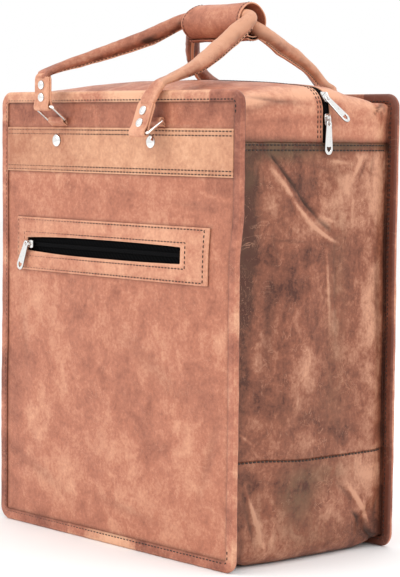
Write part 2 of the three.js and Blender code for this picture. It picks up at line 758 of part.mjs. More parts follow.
// Chape: a folded strap whose eye holds the ring; it goes in through a slot and hangs down inside
function chapeGeometry(rivetAside) {
  const inner = leather + chapeClear;
  const outer = inner + chapeNeck;
  const neckLow = chapeNeckTop - chapeNeck;
  const tailLow = chapeRivetHeight - chapeTail / 2;
  const shape = new THREE.Shape();
  shape.moveTo(-outer, tailLow);
  shape.lineTo(-inner, tailLow);
  shape.lineTo(-inner, neckLow);
  shape.lineTo(chapeEyeOut - chapeEyeOuter * 0.2, neckLow);
  shape.absarc(chapeEyeOut, chapeEyeHeight, chapeEyeOuter, radians(-50), radians(180), false);
  shape.lineTo(gap, chapeNeckTop);
  shape.lineTo(-outer, chapeNeckTop);
  const eye = new THREE.Path();
  eye.absarc(chapeEyeOut, chapeEyeHeight, chapeEyeRadius, 0, 2 * Math.PI, true);
  shape.holes.push(eye);
  const strap = extrudeCentred(shape, chapeWidth, 5);
  // The shape's x runs out of the bag and its y runs up; the strap's width lies along X
  const basis = new THREE.Matrix4().makeBasis(
    new THREE.Vector3(0, -1, 0),
    new THREE.Vector3(0, 0, 1),
    new THREE.Vector3(-1, 0, 0),
  );
  strap.applyMatrix4(basis);
  const holeRadius = rivetShank / 2 + rivetClear;
  const hole = new THREE.CylinderGeometry(holeRadius, holeRadius, 2 * outer, 8);
  hole.translate(rivetAside, outer, chapeRivetHeight);
  return cut(strap, hole);
}

// Rivet: a domed head outside, a shank, and a flat washer inside; its axis is Y, the head at -Y,
// and the leather it holds lies between y = 0 and y = grip
function rivetGeometry(headDiameter, grip) {
  const head = headDiameter / 2;
  const crown = head * 0.42;
  const profile = [
    [0, crown],
    [head * 0.62, crown * 0.72],
    [head, 0],
    [rivetShank / 2, 0],
    [rivetShank / 2, -grip],
    [head * 0.85, -grip],
    [0, -grip - rivetWasher],
  ].map(([radius, out]) => new THREE.Vector2(radius, out));
  return new THREE.LatheGeometry(profile.reverse(), 8).rotateX(Math.PI);
}

// Ring: a wire bent to a rectangle, lying from the origin along +Y, its lower bar along X
function ringGeometry() {
  const halfWidth = ringWidth / 2;
  const centres = [
    { x: halfWidth - ringCorner, y: ringCorner, start: -90 },
    { x: halfWidth - ringCorner, y: ringLength - ringCorner, start: 0 },
    { x: ringCorner - halfWidth, y: ringLength - ringCorner, start: 90 },
    { x: ringCorner - halfWidth, y: ringCorner, start: 180 },
  ];
  const sections = [];
  for (const corner of centres) {
    for (const turn of evenly(0, 90, 2)) {
      const angle = radians(corner.start + turn);
      const out = new THREE.Vector3(Math.cos(angle), Math.sin(angle), 0);
      const centre = new THREE.Vector3(corner.x, corner.y, 0).addScaledVector(out, ringCorner);
      sections.push(turnsOf(ringSides, 0).map((around) => centre.clone()
        .addScaledVector(out, (ringWire / 2) * Math.cos(radians(around)))
        .add(new THREE.Vector3(0, 0, (ringWire / 2) * Math.sin(radians(around))))));
    }
  }
  return loft(sections, true);
}

// How each end of a handle stands: the chape rivet's place beside the middle, the ring's tilt up
// from level, and the tab's lean inwards
const handleEnds = {
  front_left: { side: -1, x: leftMountX, rivetAside: -3.5, ringTilt: 36, tabLean: 0 },
  front_right: { side: -1, x: rightMountX, rivetAside: -7, ringTilt: -32, tabLean: 20 },
  back_left: { side: 1, x: leftMountX, rivetAside: 0, ringTilt: -5, tabLean: 12 },
  back_right: { side: 1, x: rightMountX, rivetAside: 0, ringTilt: 8, tabLean: 6 },
};

function endPlaces(end) {
  const rise = panelRise(end.x, chapeRivetHeight);
  const out = new THREE.Vector3(0, end.side, 0);
  const up = new THREE.Vector3(0, 0, 1);
  const ringStart = new THREE.Vector3(end.x, end.side * (-panelFace + rise + chapeEyeOut), chapeEyeHeight);
  const tilt = radians(end.ringTilt);
  const ringAlong = out.clone().multiplyScalar(Math.cos(tilt)).addScaledVector(up, Math.sin(tilt));
  const tabStart = ringStart.clone().addScaledVector(ringAlong, ringLength);
  const lean = radians(end.tabLean);
  const tabAlong = up.clone().multiplyScalar(Math.cos(lean)).addScaledVector(out, -Math.sin(lean));
  const tabOut = out.clone().multiplyScalar(Math.cos(lean)).addScaledVector(up, Math.sin(lean));
  return { ringStart, ringAlong, tabStart, tabAlong, tabOut, rise };
}

function buildMounts() {
  for (const [name, end] of Object.entries(handleEnds)) {
    const { ringStart, ringAlong, rise } = endPlaces(end);
    const turn = end.side > 0 ? Math.PI : 0;

    const chape = addPiece(`${name}_chape`, chapeGeometry(end.rivetAside), mainLeather);
    chape.position.set(end.x, end.side * (-panelFace + rise), 0);
    chape.rotation.z = turn;

    const grip = 2 * leather + chapeNeck + chapeClear + 3 * gap;
    const rivet = addPiece(`${name}_chape_rivet`, rivetGeometry(chapeRivetHead, grip), brightNickel);
    rivet.position.set(end.x + end.rivetAside, end.side * (-bandFace + rise + gap), chapeRivetHeight);
    rivet.rotation.z = turn;

    const ring = addPiece(`${name}_ring`, ringGeometry(), brightNickel);
    const across = new THREE.Vector3(1, 0, 0);
    const normal = new THREE.Vector3().crossVectors(across, ringAlong);
    ring.quaternion.setFromRotationMatrix(new THREE.Matrix4().makeBasis(across, ringAlong, normal));
    ring.position.copy(ringStart);
  }
}

// Tab: the flattened handle end folded round the ring; x across, y up the tab, z out of the bag
function tabGeometry() {
  const eyeRadius = ringWire / 2 + gap;
  const eyeOuter = eyeRadius + tabLeather;
  const shape = new THREE.Shape();
  shape.absarc(0, 0, eyeOuter, Math.PI, 2 * Math.PI, false);
  shape.lineTo(eyeOuter, eyeOuter * 0.5);
  shape.lineTo(tabThickness / 2, eyeOuter * 1.8);
  shape.lineTo(tabThickness / 2, tabLength);
  shape.lineTo(-tabThickness / 2, tabLength);
  shape.lineTo(-tabThickness / 2, eyeOuter * 1.8);
  shape.lineTo(-eyeOuter, eyeOuter * 0.5);
  const eye = new THREE.Path();
  eye.absarc(0, 0, eyeRadius, 0, 2 * Math.PI, true);
  shape.holes.push(eye);
  const strap = extrudeCentred(shape, tabWidth, 5).rotateY(Math.PI / 2);
  const holes = tabRivetHeights.map((height) => {
    const radius = rivetShank / 2 + rivetClear;
    return new THREE.CylinderGeometry(radius, radius, 4 * tabThickness, 8).rotateX(Math.PI / 2).translate(0, height, 0);
  });
  return cut(strap, ...holes);
}

// Leg of a handle from its tab to the grip. share: way along the leg; aside, sag: how far it bows
// to the left and droops, as shares of the leg's length; flat: 0 round, 1 as flat as the tab;
// thick: share of the grip's diameter
const legShapes = {
  front_left: [
    { share: 0.1, aside: 0, sag: -0.015, flat: 0.55, thick: 0.85 },
    { share: 0.26, aside: 0, sag: -0.01, flat: 0.2, thick: 0.82 },
    { share: 0.5, aside: 0, sag: 0.004, flat: 0.1, thick: 0.92 },
    { share: 0.78, aside: 0, sag: 0.01, flat: 0, thick: 1 },
  ],
  front_right: [
    { share: 0.1, aside: -0.02, sag: -0.068, flat: 0.85, thick: 1 },
    { share: 0.19, aside: -0.05, sag: -0.058, flat: 0.7, thick: 1.15 },
    { share: 0.4, aside: -0.07, sag: -0.015, flat: 0.4, thick: 1.3 },
    { share: 0.6, aside: -0.05, sag: 0, flat: 0.2, thick: 1.28 },
    { share: 0.8, aside: -0.02, sag: 0, flat: 0, thick: 1.12 },
  ],
  back_left: [
    { share: 0.15, aside: 0.045, sag: 0, flat: 0.7, thick: 1 },
    { share: 0.35, aside: 0.08, sag: 0.045, flat: 0.35, thick: 1 },
    { share: 0.6, aside: 0.115, sag: 0.08, flat: 0.1, thick: 1.05 },
    { share: 0.82, aside: 0.085, sag: 0.06, flat: 0, thick: 1.05 },
  ],
  back_right: [
    { share: 0.12, aside: 0, sag: 0, flat: 0.6, thick: 1 },
    { share: 0.3, aside: 0, sag: 0.01, flat: 0.3, thick: 1 },
    { share: 0.55, aside: 0, sag: 0.045, flat: 0.1, thick: 1 },
    { share: 0.8, aside: 0, sag: 0.065, flat: 0, thick: 1 },
  ],
};

function legPoints(legName, mouth) {
  const { tabStart, tabAlong } = endPlaces(handleEnds[legName]);
  const tabTop = tabStart.clone().addScaledVector(tabAlong, tabLength);
  const rows = legShapes[legName];
  const length = tabTop.distanceTo(mouth);
  const points = [
    { place: tabTop.clone().addScaledVector(tabAlong, -tabRivetHead / 3), flat: 1, thick: 1, blend: 1, fin: 0 },
    { place: tabTop, flat: 1, thick: 1, blend: 1, fin: 0 },
  ];
  for (const row of rows) {
    const place = tabTop.clone().lerp(mouth, row.share);
    place.x -= row.aside * length;
    place.z -= row.sag * length;
    const blend = Math.max(0, 1 - row.share * 3);
    points.push({ place, flat: row.flat, thick: row.thick, blend, fin: 1 - row.flat });
  }
  return points;
}

// One handle: tab, leg, grip, leg, tab
function handleGeometry(left, right, side) {
  const gripY = (side * gripSpacing) / 2;
  const gripZ = gripHeight - side * gripStagger;
  const leftMouth = new THREE.Vector3(wrapStart - mouthRun, gripY * 1.45, gripZ - 3);
  const rightMouth = new THREE.Vector3(wrapEnd + mouthRun * 0.72, gripY * 1.55, gripZ - 3);
  const grip = evenly(wrapStart + 2, wrapEnd - 3, 3)
    .map((x) => ({ place: new THREE.Vector3(x, gripY, gripZ), flat: 0, thick: 1, blend: 0, fin: 0 }));
  const stops = [
    ...legPoints(left, leftMouth),
    { place: leftMouth, flat: 0, thick: 1, blend: 0, fin: 0.3 },
    ...grip,
    { place: rightMouth, flat: 0, thick: 1, blend: 0, fin: 0.3 },
    ...legPoints(right, rightMouth).reverse(),
  ];
  const curve = new THREE.CatmullRomCurve3(stops.map((stop) => stop.place), false, 'centripetal');
  const perStop = 2;
  const count = (stops.length - 1) * perStop;
  const sections = [];
  for (let k = 0; k <= count; k += 1) {
    const t = k / count;
    const position = k / perStop;
    const before = Math.min(Math.floor(position), stops.length - 2);
    const mix = position - before;
    const mixed = (key) => lerp(stops[before][key], stops[before + 1][key], mix);
    const blend = mixed('blend');
    const along = curve.getTangent(t);
    const level = new THREE.Vector3().crossVectors(along, new THREE.Vector3(0, 0, 1)).normalize();
    const tabAcross = new THREE.Vector3(position < stops.length / 2 ? 1 : -1, 0, 0).multiplyScalar(-side);
    const across = level.multiplyScalar(1 - blend).addScaledVector(tabAcross, blend).normalize();
    across.addScaledVector(along, -across.dot(along)).normalize();
    const up = new THREE.Vector3().crossVectors(across, along).normalize();
    sections.push(handleSection(curve.getPoint(t), across, up, mixed('flat'), mixed('thick'), mixed('fin')));
  }
  const body = loft(sections);
  const tabs = [left, right].map((name) => {
    const { tabStart, tabAlong, tabOut } = endPlaces(handleEnds[name]);
    const acrossTab = new THREE.Vector3().crossVectors(tabAlong, tabOut);
    const basis = new THREE.Matrix4().makeBasis(acrossTab, tabAlong, tabOut).setPosition(tabStart);
    return tabGeometry().applyMatrix4(basis);
  });
  return join(body, ...tabs);
}

// Section of the rolled leather: round with a sewn fin below, flattened towards the tab
function handleSection(centre, across, up, flat, thick, finShare) {
  const radius = (thick * gripDiameter) / 2;
  const halfWide = lerp(radius, tabWidth / 2, flat ** 1.5);
  const halfHigh = lerp(radius, tabThickness / 2, flat ** 0.8);
  const fin = finDepth * finShare;
  const points = [];
  const downwards = -90;
  for (const turn of turnsOf(handleSides, downwards)) {
    const wide = Math.cos(radians(turn)) * halfWide;
    const high = Math.sin(radians(turn)) * halfHigh - (turn === downwards ? fin : 0);
    points.push(centre.clone().addScaledVector(across, wide).addScaledVector(up, high));
  }
  return points;
}

function buildHandles() {
  addPiece('front_handle', handleGeometry('front_left', 'front_right', -1), mainLeather);
  addPiece('back_handle', handleGeometry('back_left', 'back_right', 1), mainLeather);
  for (const [name, end] of Object.entries(handleEnds)) {
    const { tabStart, tabAlong, tabOut } = endPlaces(end);
    tabRivetHeights.forEach((height, k) => {
      const grip = tabThickness + 2 * gap;
      const rivet = addPiece(`${name}_tab_rivet_${k + 1}`, rivetGeometry(tabRivetHead, grip), brightNickel);
      const across = new THREE.Vector3().crossVectors(tabOut.clone().negate(), tabAlong);
      rivet.quaternion.setFromRotationMatrix(
        new THREE.Matrix4().makeBasis(across, tabOut.clone().negate(), tabAlong),
      );
      rivet.position.copy(tabStart).addScaledVector(tabAlong, height).addScaledVector(tabOut, grip / 2);
    });
  }
}

// Wrap: one sheet rolled round both grips, its ends overlapping underneath
function buildWrap() {
  const wide = wrapWidth / 2;
  const high = wrapHeight / 2;
  const turns = 26;
  const overlapTurn = wrapOverlap / (wide + high) * (360 / Math.PI);
  const closureRoom = closureThickness + 2 * gap;
  const step = wrapLeather + closureRoom;
  const startTurn = -90 - overlapTurn / 2;
  const overlapShare = (1.05 * overlapTurn) / (360 + overlapTurn);
  const wrapRampEnd = 0.32;
  const outerLine = [];
  const innerLine = [];
  for (const share of evenly(0, 1, turns)) {
    const turn = startTurn + share * (360 + overlapTurn);
    const angle = radians(turn);
    const grown = lerp(-step, 0, THREE.MathUtils.smoothstep(share, overlapShare, wrapRampEnd));
    outerLine.push(new THREE.Vector2(-(wide + grown) * Math.cos(angle), (high + grown) * Math.sin(angle)));
    const inner = grown - wrapLeather;
    innerLine.push(new THREE.Vector2(-(wide + inner) * Math.cos(angle), (high + inner) * Math.sin(angle)));
  }
  const place = (geometry) => geometry.rotateX(Math.PI / 2).rotateZ(Math.PI / 2).translate(wrapStart, 0, gripHeight - wrapDrop);
  const length = wrapEnd - wrapStart;
  const band = new THREE.Shape([...outerLine, ...innerLine.reverse()]);
  const wrap = new THREE.ExtrudeGeometry(band, { depth: length, bevelEnabled: false, steps: 2 });
  addPiece('handle_wrap', place(wrap), mainLeather);

  const strip = [];
  const stripOuter = wrapLeather + gap;
  const stripTurns = evenly(-90 - overlapTurn * 0.4, -90 + overlapTurn * 0.4, 5);
  for (const turn of stripTurns) {
    const angle = radians(turn);
    strip.push(new THREE.Vector2((wide - stripOuter) * Math.cos(angle), (high - stripOuter) * Math.sin(angle)));
  }
  const stripInner = stripOuter + closureThickness;
  for (const turn of stripTurns.reverse()) {
    const angle = radians(turn);
    strip.push(new THREE.Vector2((wide - stripInner) * Math.cos(angle), (high - stripInner) * Math.sin(angle)));
  }
  const closure = new THREE.ExtrudeGeometry(new THREE.Shape(strip), {
    depth: length + 2 * closureThickness,
    bevelEnabled: false,
  });
  closure.translate(0, 0, -closureThickness / 2);
  addPiece('wrap_closure', place(closure), zipBlack);
}

buildGusset();
const rear = new THREE.Group();
rear.rotation.z = Math.PI;
bag.add(rear);
for (const [prefix, parent, side] of [['front', bag, 1], ['back', rear, -1]]) {
  buildPanel(prefix, side, parent);
  const binding = addPiece(`${prefix}_binding`, bindingGeometry(), edgeLeather, parent);
  binding.position.y = -bodyDepth / 2;
}
buildWeltPocket();
buildSliders();
buildMounts();
buildHandles();
buildWrap();

export default bag;
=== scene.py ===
"""Looks of a leather shopper bag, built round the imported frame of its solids.

Sizes in the classes are millimetres, +Z up, the bag's front towards -Y. Meshes are made in metres.
Every soft piece is placed by the same few form functions, so that layers follow each other.
"""

from __future__ import annotations

import itertools
import logging
import math
from dataclasses import dataclass, field
from enum import Enum
from typing import Callable, Sequence, Union

import bpy
import numpy as np
from mathutils import Matrix, Vector

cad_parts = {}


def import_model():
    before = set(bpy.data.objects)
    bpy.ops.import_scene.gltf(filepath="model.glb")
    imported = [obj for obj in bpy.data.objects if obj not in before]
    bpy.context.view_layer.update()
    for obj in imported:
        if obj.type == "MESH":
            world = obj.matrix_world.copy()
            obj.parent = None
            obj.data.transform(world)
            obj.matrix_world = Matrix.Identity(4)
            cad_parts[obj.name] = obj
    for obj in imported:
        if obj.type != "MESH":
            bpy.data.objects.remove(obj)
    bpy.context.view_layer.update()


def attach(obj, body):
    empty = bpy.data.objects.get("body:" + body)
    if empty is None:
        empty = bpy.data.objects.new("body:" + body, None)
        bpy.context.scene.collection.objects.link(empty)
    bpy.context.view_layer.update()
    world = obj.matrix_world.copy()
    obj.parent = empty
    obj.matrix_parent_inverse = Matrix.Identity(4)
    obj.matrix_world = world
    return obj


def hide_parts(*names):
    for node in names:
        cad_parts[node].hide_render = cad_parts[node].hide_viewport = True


Array = np.ndarray
Colour = tuple[float, float, float]
Place = Callable[[Array, Array], Array]
Piece = bpy.types.Object
Material = bpy.types.Material
log = logging.getLogger("shopper_bag")

MM = 0.001
UP = np.array([0.0, 0.0, 1.0])
ACROSS = np.array([1.0, 0.0, 0.0])


def unit(vectors: Array) -> Array:
    """Vectors of length one, along the last axis."""
    return vectors / np.maximum(np.linalg.norm(vectors, axis=-1, keepdims=True), 1e-12)


def smooth(share: Array) -> Array:
    """Soft step from 0 to 1 as share goes from 0 to 1."""
    share = np.clip(share, 0.0, 1.0)
    return share * share * (3.0 - 2.0 * share)


def bell(away: Array, width: float) -> Array:
    """Bell curve: 1 where away is 0, about a third at the width."""
    return np.exp(-(away / width) ** 2)


def mix(start: Array, end: Array, share: Array) -> Array:
    """Value between start and end."""
    return start + (end - start) * share


def lengths_along(path: Array) -> Array:
    """Length from a path's start to each of its points."""
    return np.concatenate([[0.0], np.cumsum(np.linalg.norm(np.diff(path, axis=0), axis=1))])


def steps(low: float, high: float, step: float, *rows: float) -> Array:
    """Places from low to high no further apart than step, with close lines beside each edge and row.

    Args:
        low: First place.
        high: Last place.
        step: Widest spacing.
        rows: Places that get close lines on both sides, such as a stitch row.

    Returns:
        Sorted places.
    """
    count = max(2, int(math.ceil((high - low) / step)) + 1)
    near = [low + 0.5, high - 0.5]
    for row in rows:
        near += [row - 1.2, row - 0.5, row, row + 0.5, row + 1.2]
    kept = [place for place in near if low < place < high]
    base = [b for b in np.linspace(low, high, count) if all(abs(b - k) > 0.45 for k in kept)]
    return np.array(sorted(set([low, high, *base, *kept])))


class Noise:
    """Smooth seeded noise over space, from -1 to 1."""

    def __init__(self, seed: int) -> None:
        """Fills the lattice from the seed."""
        self.size = 24
        self.values = np.random.default_rng(seed).uniform(-1.0, 1.0, (self.size,) * 3)

    def __call__(self, points: Array, cell: float) -> Array:
        """Noise at points.

        Args:
            points: Places, with three numbers along the last axis.
            cell: Size of one lump, in the same unit.

        Returns:
            One number for each point.
        """
        low = np.floor(points / cell).astype(int)
        part = smooth(points / cell - low)
        total = np.zeros(points.shape[:-1])
        for corner in itertools.product((0, 1), repeat=3):
            at = (low + np.array(corner)) % self.size
            weight = np.prod(np.where(np.array(corner) == 1, part, 1.0 - part), axis=-1)
            total += weight * self.values[at[..., 0], at[..., 1], at[..., 2]]
        return total


SOFT = Noise(11)
SLACK_X = Noise(23)
SLACK_Y = Noise(37)
MOTTLE = Noise(41)


class Form:
    """Form of the bag's body: the same sizes and curves as its solids, with slack leather added."""

    width = 380.0
    height = 460.0
    depth = 210.0
    corner = 14.0
    leather = 1.4
    gap = 0.3
    binding = 11.5
    binding_rear = 10.0
    binding_wall = 1.2
    top_rise = 24.5
    top_rise_corner = 17.0
    side_swell = 4.0
    top_corner = 24.0
    bottom_corner = 20.0
    upper_seam = 410.5
    lower_seam = 101.0
    swell = 2.4
    zip_centre = 12.0
    zip_slot = 9.0
    edge_pull = 4.5
    seam_bow = 4.0
    top_sink = 5.0
    seam_tuck = 2.6

    slot = 2 * leather + 3 * gap
    binding_thick = slot + 2 * binding_wall
    seam_half = width / 2 - binding
    seam_corner = corner - binding
    seam_low = binding
    seam_high = height - binding
    panel_inset = binding_wall + 2 * gap
    face = -depth / 2 - slot / 2 + gap
    back = face + leather
    band_face = face - gap - leather
    half_depth = depth / 2 - slot / 2 + gap
    corner_end = seam_half + side_swell - top_corner

    @classmethod
    def fullness(cls, y: Array) -> Array:
        """How far the gusset has swelled out at y, from 0 at the seams to 1 in the middle."""
        return 1.0 - np.minimum(np.abs(y) / cls.half_depth, 1.0) ** 3

    @classmethod
    def sag(cls, y: Array) -> Array:
        """How far the base hangs down to the ground at y, from 0 to 1."""
        return smooth((1.0 - np.minimum(np.abs(y) / cls.half_depth, 1.0)) / 0.34)

    @classmethod
    def half_width(cls, z: Array, y: Array, outset: Array) -> Array:
        """Half the width of the body at a height."""
        middle = (cls.seam_low + cls.seam_high) / 2
        share = np.minimum(1.0, np.abs(z - middle) / (middle - cls.seam_low - cls.bottom_corner))
        shape = mix(1.0, 0.55, share * share)
        return cls.seam_half + outset + cls.side_swell * shape * cls.fullness(y)

    @classmethod
    def top(cls, x: Array, y: Array, outset: Array) -> Array:
        """Height of the domed top."""
        share = np.minimum(1.0, np.abs(x) / cls.corner_end)
        rise = mix(cls.top_rise, cls.top_rise_corner, share * share)
        return cls.seam_high + outset + rise * cls.fullness(y)

    @classmethod
    def rise(cls, x: Array, z: Array) -> Array:
        """How far a flat panel swells out."""
        middle = cls.height / 2
        across = np.minimum(1.0, np.abs(x) / cls.seam_half)
        upward = np.minimum(1.0, np.abs(z - middle) / (middle - cls.seam_low))
        return cls.swell * (1 - across**2) * (1 - upward**2)

    @staticmethod
    def settle(points: Array) -> Array:
        """Shifts points as slack leather lies, the same for every layer at that place."""
        z = points[..., 2]
        free = smooth((z - 25.0) / 90.0) * mix(1.0, 0.3, smooth((z - 330.0) / 60.0))
        shift = np.zeros_like(points)
        shift[..., 0] = 1.1 * free * SLACK_X(points, 75.0)
        shift[..., 1] = 1.0 * free * SLACK_Y(points, 120.0)
        x, y = points[..., 0], points[..., 1]
        pulled = smooth((x - 110.0) / 70.0) * smooth((-y - 30.0) / 60.0) * smooth((345.0 - z) / 50.0)
        sunk = smooth((x - 40.0) / 80.0) * smooth((y - 26.0) / 35.0) * smooth((z - 438.0) / 18.0)
        bowed = smooth((np.abs(x) - 165.0) / 12.0) * smooth((-y - 5.0) / 70.0)
        bowed = bowed * bell(z - Form.lower_seam, 35.0)
        shift[..., 0] -= Form.edge_pull * pulled
        shift[..., 2] += Form.seam_bow * bowed - Form.top_sink * sunk * (1.0 - smooth((y - 88.0) / 12.0))
        return points + shift


@dataclass(frozen=True)
class Fold:
    """A crease pressed into leather, or a ridge where deep is negative.

    Attributes:
        u, v: Place in the surface's two directions, in millimetres.
        deep: Depth.
        long, wide: Half length and half width.
        lean: Degrees that the fold leans from the v direction towards -u.
        side: Side of the bag that it is on, 1 or -1.
    """

    u: float
    v: float
    deep: float
    long: float
    wide: float
    lean: float
    side: int = 1

    def depth(self, u: Array, v: Array) -> Array:
        """Depth of the fold at places."""
        turn = math.radians(self.lean)
        du, dv = u - self.u, v - self.v
        along = (dv * math.cos(turn) - du * math.sin(turn)) / self.long
        across = (dv * math.sin(turn) + du * math.cos(turn)) / self.wide
        return self.deep * np.exp(-(along**2 + across**2) * 2)


GUSSET_FOLDS = tuple(Fold(*row) for row in (
    (82.8, 32.2, 7.7, 33.6, 12.6, -42), (93.1, 443.9, 4.5, 18.9, 12.6, 35),
    (-10.3, 358.8, 2.2, 63.0, 21.0, -48), (36.2, 207.0, 2.5, 105.0, 42.0, 8),
    (10.3, 184.0, 2.8, 105.0, 42.0, -6, -1), (-77.6, 36.8, 4.9, 33.6, 14.7, 40, -1)
))

# Finer creases, for the render alone: the diagonal fold, the puckers under the seam, the creases
# of the rear foot and a ridge at the front foot
FINE_FOLDS = tuple(Fold(*row) for row in (
    (-56.5, 394.8, 1.8, 10, 2.4, 47), (-39.5, 378, 2.6, 24, 2.6, 45), (-12, 350.2, 2.4, 24, 2.8, 45),
    (12.4, 329.3, 1.4, 14, 2.8, 58), (-45, 371, -0.9, 34, 4.0, 45), (-19, 343, -1.0, 26, 3.6, 46),
    (4, 324, -1.0, 22, 2.4, 60), (20, 316, -0.7, 18, 2.2, 68), (14, 336, -0.6, 14, 2.2, 74),
    (-78, 378, 1.0, 14, 2.0, -4), (-70, 374, 0.7, 12, 2.0, 6), (56, 387, -1.2, 16, 3.0, -31),
    (64, 384, 0.8, 14, 2.6, -28), (78, 388, 0.7, 16, 3.0, -14), (30, 392, -0.7, 24, 2.4, 84),
    (8, 386, 0.6, 26, 2.6, 80), (-33, 315.5, 0.7, 40, 1.7, 86), (17, 271, -0.7, 48, 2.6, 6),
    (28, 262, 0.6, 60, 2.6, 3), (90, 250, 0.8, 90, 7, 2), (-60, 240, 0.7, 80, 12, -5),
    (-88, 126, -0.6, 16, 2.2, 52), (67.5, 33.7, 2.4, 15, 3.0, 50), (82, 19, 3.0, 14, 3.0, 38),
    (93.8, 8, 2.2, 10, 2.6, 57), (95.7, 40.6, 1.8, 15, 2.6, -15), (95.5, 22, 2.0, 11, 2.6, 23),
    (91, 14, 1.8, 13, 1.8, 80), (91, 8.5, 1.6, 10, 1.6, 74), (68, 49.5, -1.8, 26, 3.6, 41),
    (84, 34, -1.4, 20, 2.8, 30), (48, 62, 0.8, 22, 3.4, 50), (-72.5, 47.4, -1.3, 38, 2.4, 21),
    (-79, 44, 0.9, 32, 2.4, 18), (-92, 12, 0.9, 16, 2.6, -40), (91, 450.5, 1.7, 10, 1.9, -75),
    (84.6, 442.5, 1.8, 19, 2.1, -54), (95, 442, 1.4, 12, 2.0, -18), (78, 438, -0.8, 13, 2.6, -46),
    (-62, 451, 1.2, 34, 2.4, 86)
))

FRONT_FOLDS = tuple(Fold(*row) for row in (
    (120, 349, 0.7, 36, 3.5, 84), (150, 358, -0.5, 30, 4.0, 80), (-90, 436, 0.5, 14, 3.0, 30),
    (-30, 436, -0.5, 12, 2.6, 24), (150, 110, 0.6, 60, 9.0, -20), (-120, 60, 0.7, 60, 9.0, 70),
    (20, 40, 0.6, 70, 7.0, 82), (60, 190, 0.5, 80, 16.0, 60), (-150, 200, 0.5, 70, 10.0, 8)
))


@dataclass(frozen=True)
class Patch:
    """A soft patch of other tone on leather.

    Attributes:
        u, v: Place in the surface's two directions.
        long, wide: Half sizes along v and u.
        tone: Lighter above 0, darker below.
        olive: How far the patch turns towards olive.
    """

    u: float
    v: float
    long: float
    wide: float
    tone: float
    olive: float = 0.0

    def weight(self, u: Array, v: Array) -> Array:
        """How strong the patch is at places, from 0 to 1."""
        return np.exp(-(((u - self.u) / self.wide) ** 2 + ((v - self.v) / self.long) ** 2))


# Side panel patches: partly the leather's own mottling and olive, partly painted light and shade: darker towards
# the front seam, lighter on the back half, with painted highlights and shade round the folds.
SIDE_PATCHES = tuple(Patch(*row) for row in (
    (0, 408, 5.5, 400, -0.8, 0.9), (-50, 400, 9, 60, -0.3, 0.8), (-88, 374, 16, 12, -0.5, 0.5),
    (-60, 345, 26, 20, 0.22, 0.1), (-6, 368, 22, 26, -0.14, 0.0), (-24, 372, 8, 30, -0.2, 0.1),
    (34, 384, 20, 26, 0.3, 0.1), (46, 340, 34, 14, 0.16, 0.0), (82, 300, 150, 24, 0.52, 0.0),
    (103, 200, 260, 5, -0.3, -0.2), (14, 330, 12, 28, 0.34, 0.2), (-86, 300, 70, 15, -0.6, 0.2),
    (-94, 200, 190, 13, -0.5, 0.1), (-30, 262, 54, 36, -0.34, 0.0), (30, 250, 110, 14, 0.2, 0.4),
    (-20, 150, 30, 40, -0.1, 0.15), (40, 160, 40, 40, -0.04, 0.1), (68, 84, 26, 34, 0.5, 0.05),
    (88, 60, 34, 14, 0.36, 0.0), (-20, 66, 30, 26, -0.16, 0.95), (20, 84, 14, 30, 0.1, 0.6),
    (-80, 60, 40, 14, -0.1, 0.2), (-68, 44, 30, 5, 0.25, 0.2), (0, 24, 16, 60, 0.0, 0.4),
    (92, 14, 12, 22, -0.55, 0.0), (-95, 20, 24, 10, -0.4, 0.0)
))

FRONT_PATCHES = tuple(Patch(*row) for row in (
    (150, 352, 16, 50, -0.25), (40, 350, 14, 50, -0.16), (-140, 250, 50, 24, 0.16),
    (-87, 207, 26, 40, 0.1), (40, 236, 26, 60, 0.12), (134, 170, 40, 26, -0.2), (-86, 107, 40, 40, -0.14),
    (134, 85, 30, 40, 0.12), (-20, 45, 20, 90, 0.14), (-160, 150, 60, 16, -0.16), (30, 130, 30, 40, -0.1),
    (10, 311, 20, 30, -0.1), (0, 440, 12, 400, -0.06)
))


@dataclass
class Marks:
    """Shades that a mesh carries for its finish: tone, olive and dark, each from 0 to 1. Tone mixes the leather's
    own tone with painted light and shade; dark is painted shade for the most part.
    """

    tone: Array
    olive: Array
    dark: Array

    def colours(self) -> Array:
        """Marks as one colour for each point."""
        parts = [np.clip(part, 0.0, 1.0).ravel() for part in (self.tone, self.olive, self.dark)]
        return np.stack([*parts, np.ones(parts[0].size)], axis=-1)


def patched(u: Array, v: Array, patches: Sequence[Patch]) -> tuple[Array, Array]:
    """Tone and olive of patches at places.

    Args:
        u: First places.
        v: Second places.
        patches: Patches on that leather.

    Returns:
        Tone round 0.5 and olive from 0.
    """
    tone = np.full(u.shape, 0.5)
    olive = np.zeros(u.shape)
    for patch in patches:
        weight = patch.weight(u, v)
        tone += 0.5 * patch.tone * weight
        olive += patch.olive * weight
    return tone, olive


def new_object(name: str, points: Array, faces: Sequence[Sequence[int]], finish: Material,
               marks: Marks | None = None) -> Piece:
    """Makes a mesh object from points in millimetres.

    Args:
        name: Name of the piece.
        points: Places, one row for each.
        faces: Corner numbers of each face.
        finish: Its material.
        marks: Shades of its points.

    Returns:
        The object, linked to the scene.
    """
    mesh = bpy.data.meshes.new(name)
    mesh.from_pydata((np.asarray(points).reshape(-1, 3) * MM).tolist(), [], list(faces))
    mesh.validate()
    mesh.materials.append(finish)
    mesh.polygons.foreach_set("use_smooth", np.ones(len(mesh.polygons), dtype=bool))
    if marks is not None:
        layer = mesh.color_attributes.new("marks", "FLOAT_COLOR", "POINT")
        layer.data.foreach_set("color", marks.colours().astype(np.float32).ravel())
    mesh.update()
    piece = bpy.data.objects.new(name, mesh)
    bpy.context.collection.objects.link(piece)
    return piece


def volume(points: Array, faces: Array) -> float:
    """Signed volume of a closed mesh of quads."""
    a, b, c, d = (points[faces[:, k]] for k in range(4))
    return float(np.sum(a * np.cross(b, c)) + np.sum(a * np.cross(c, d)))


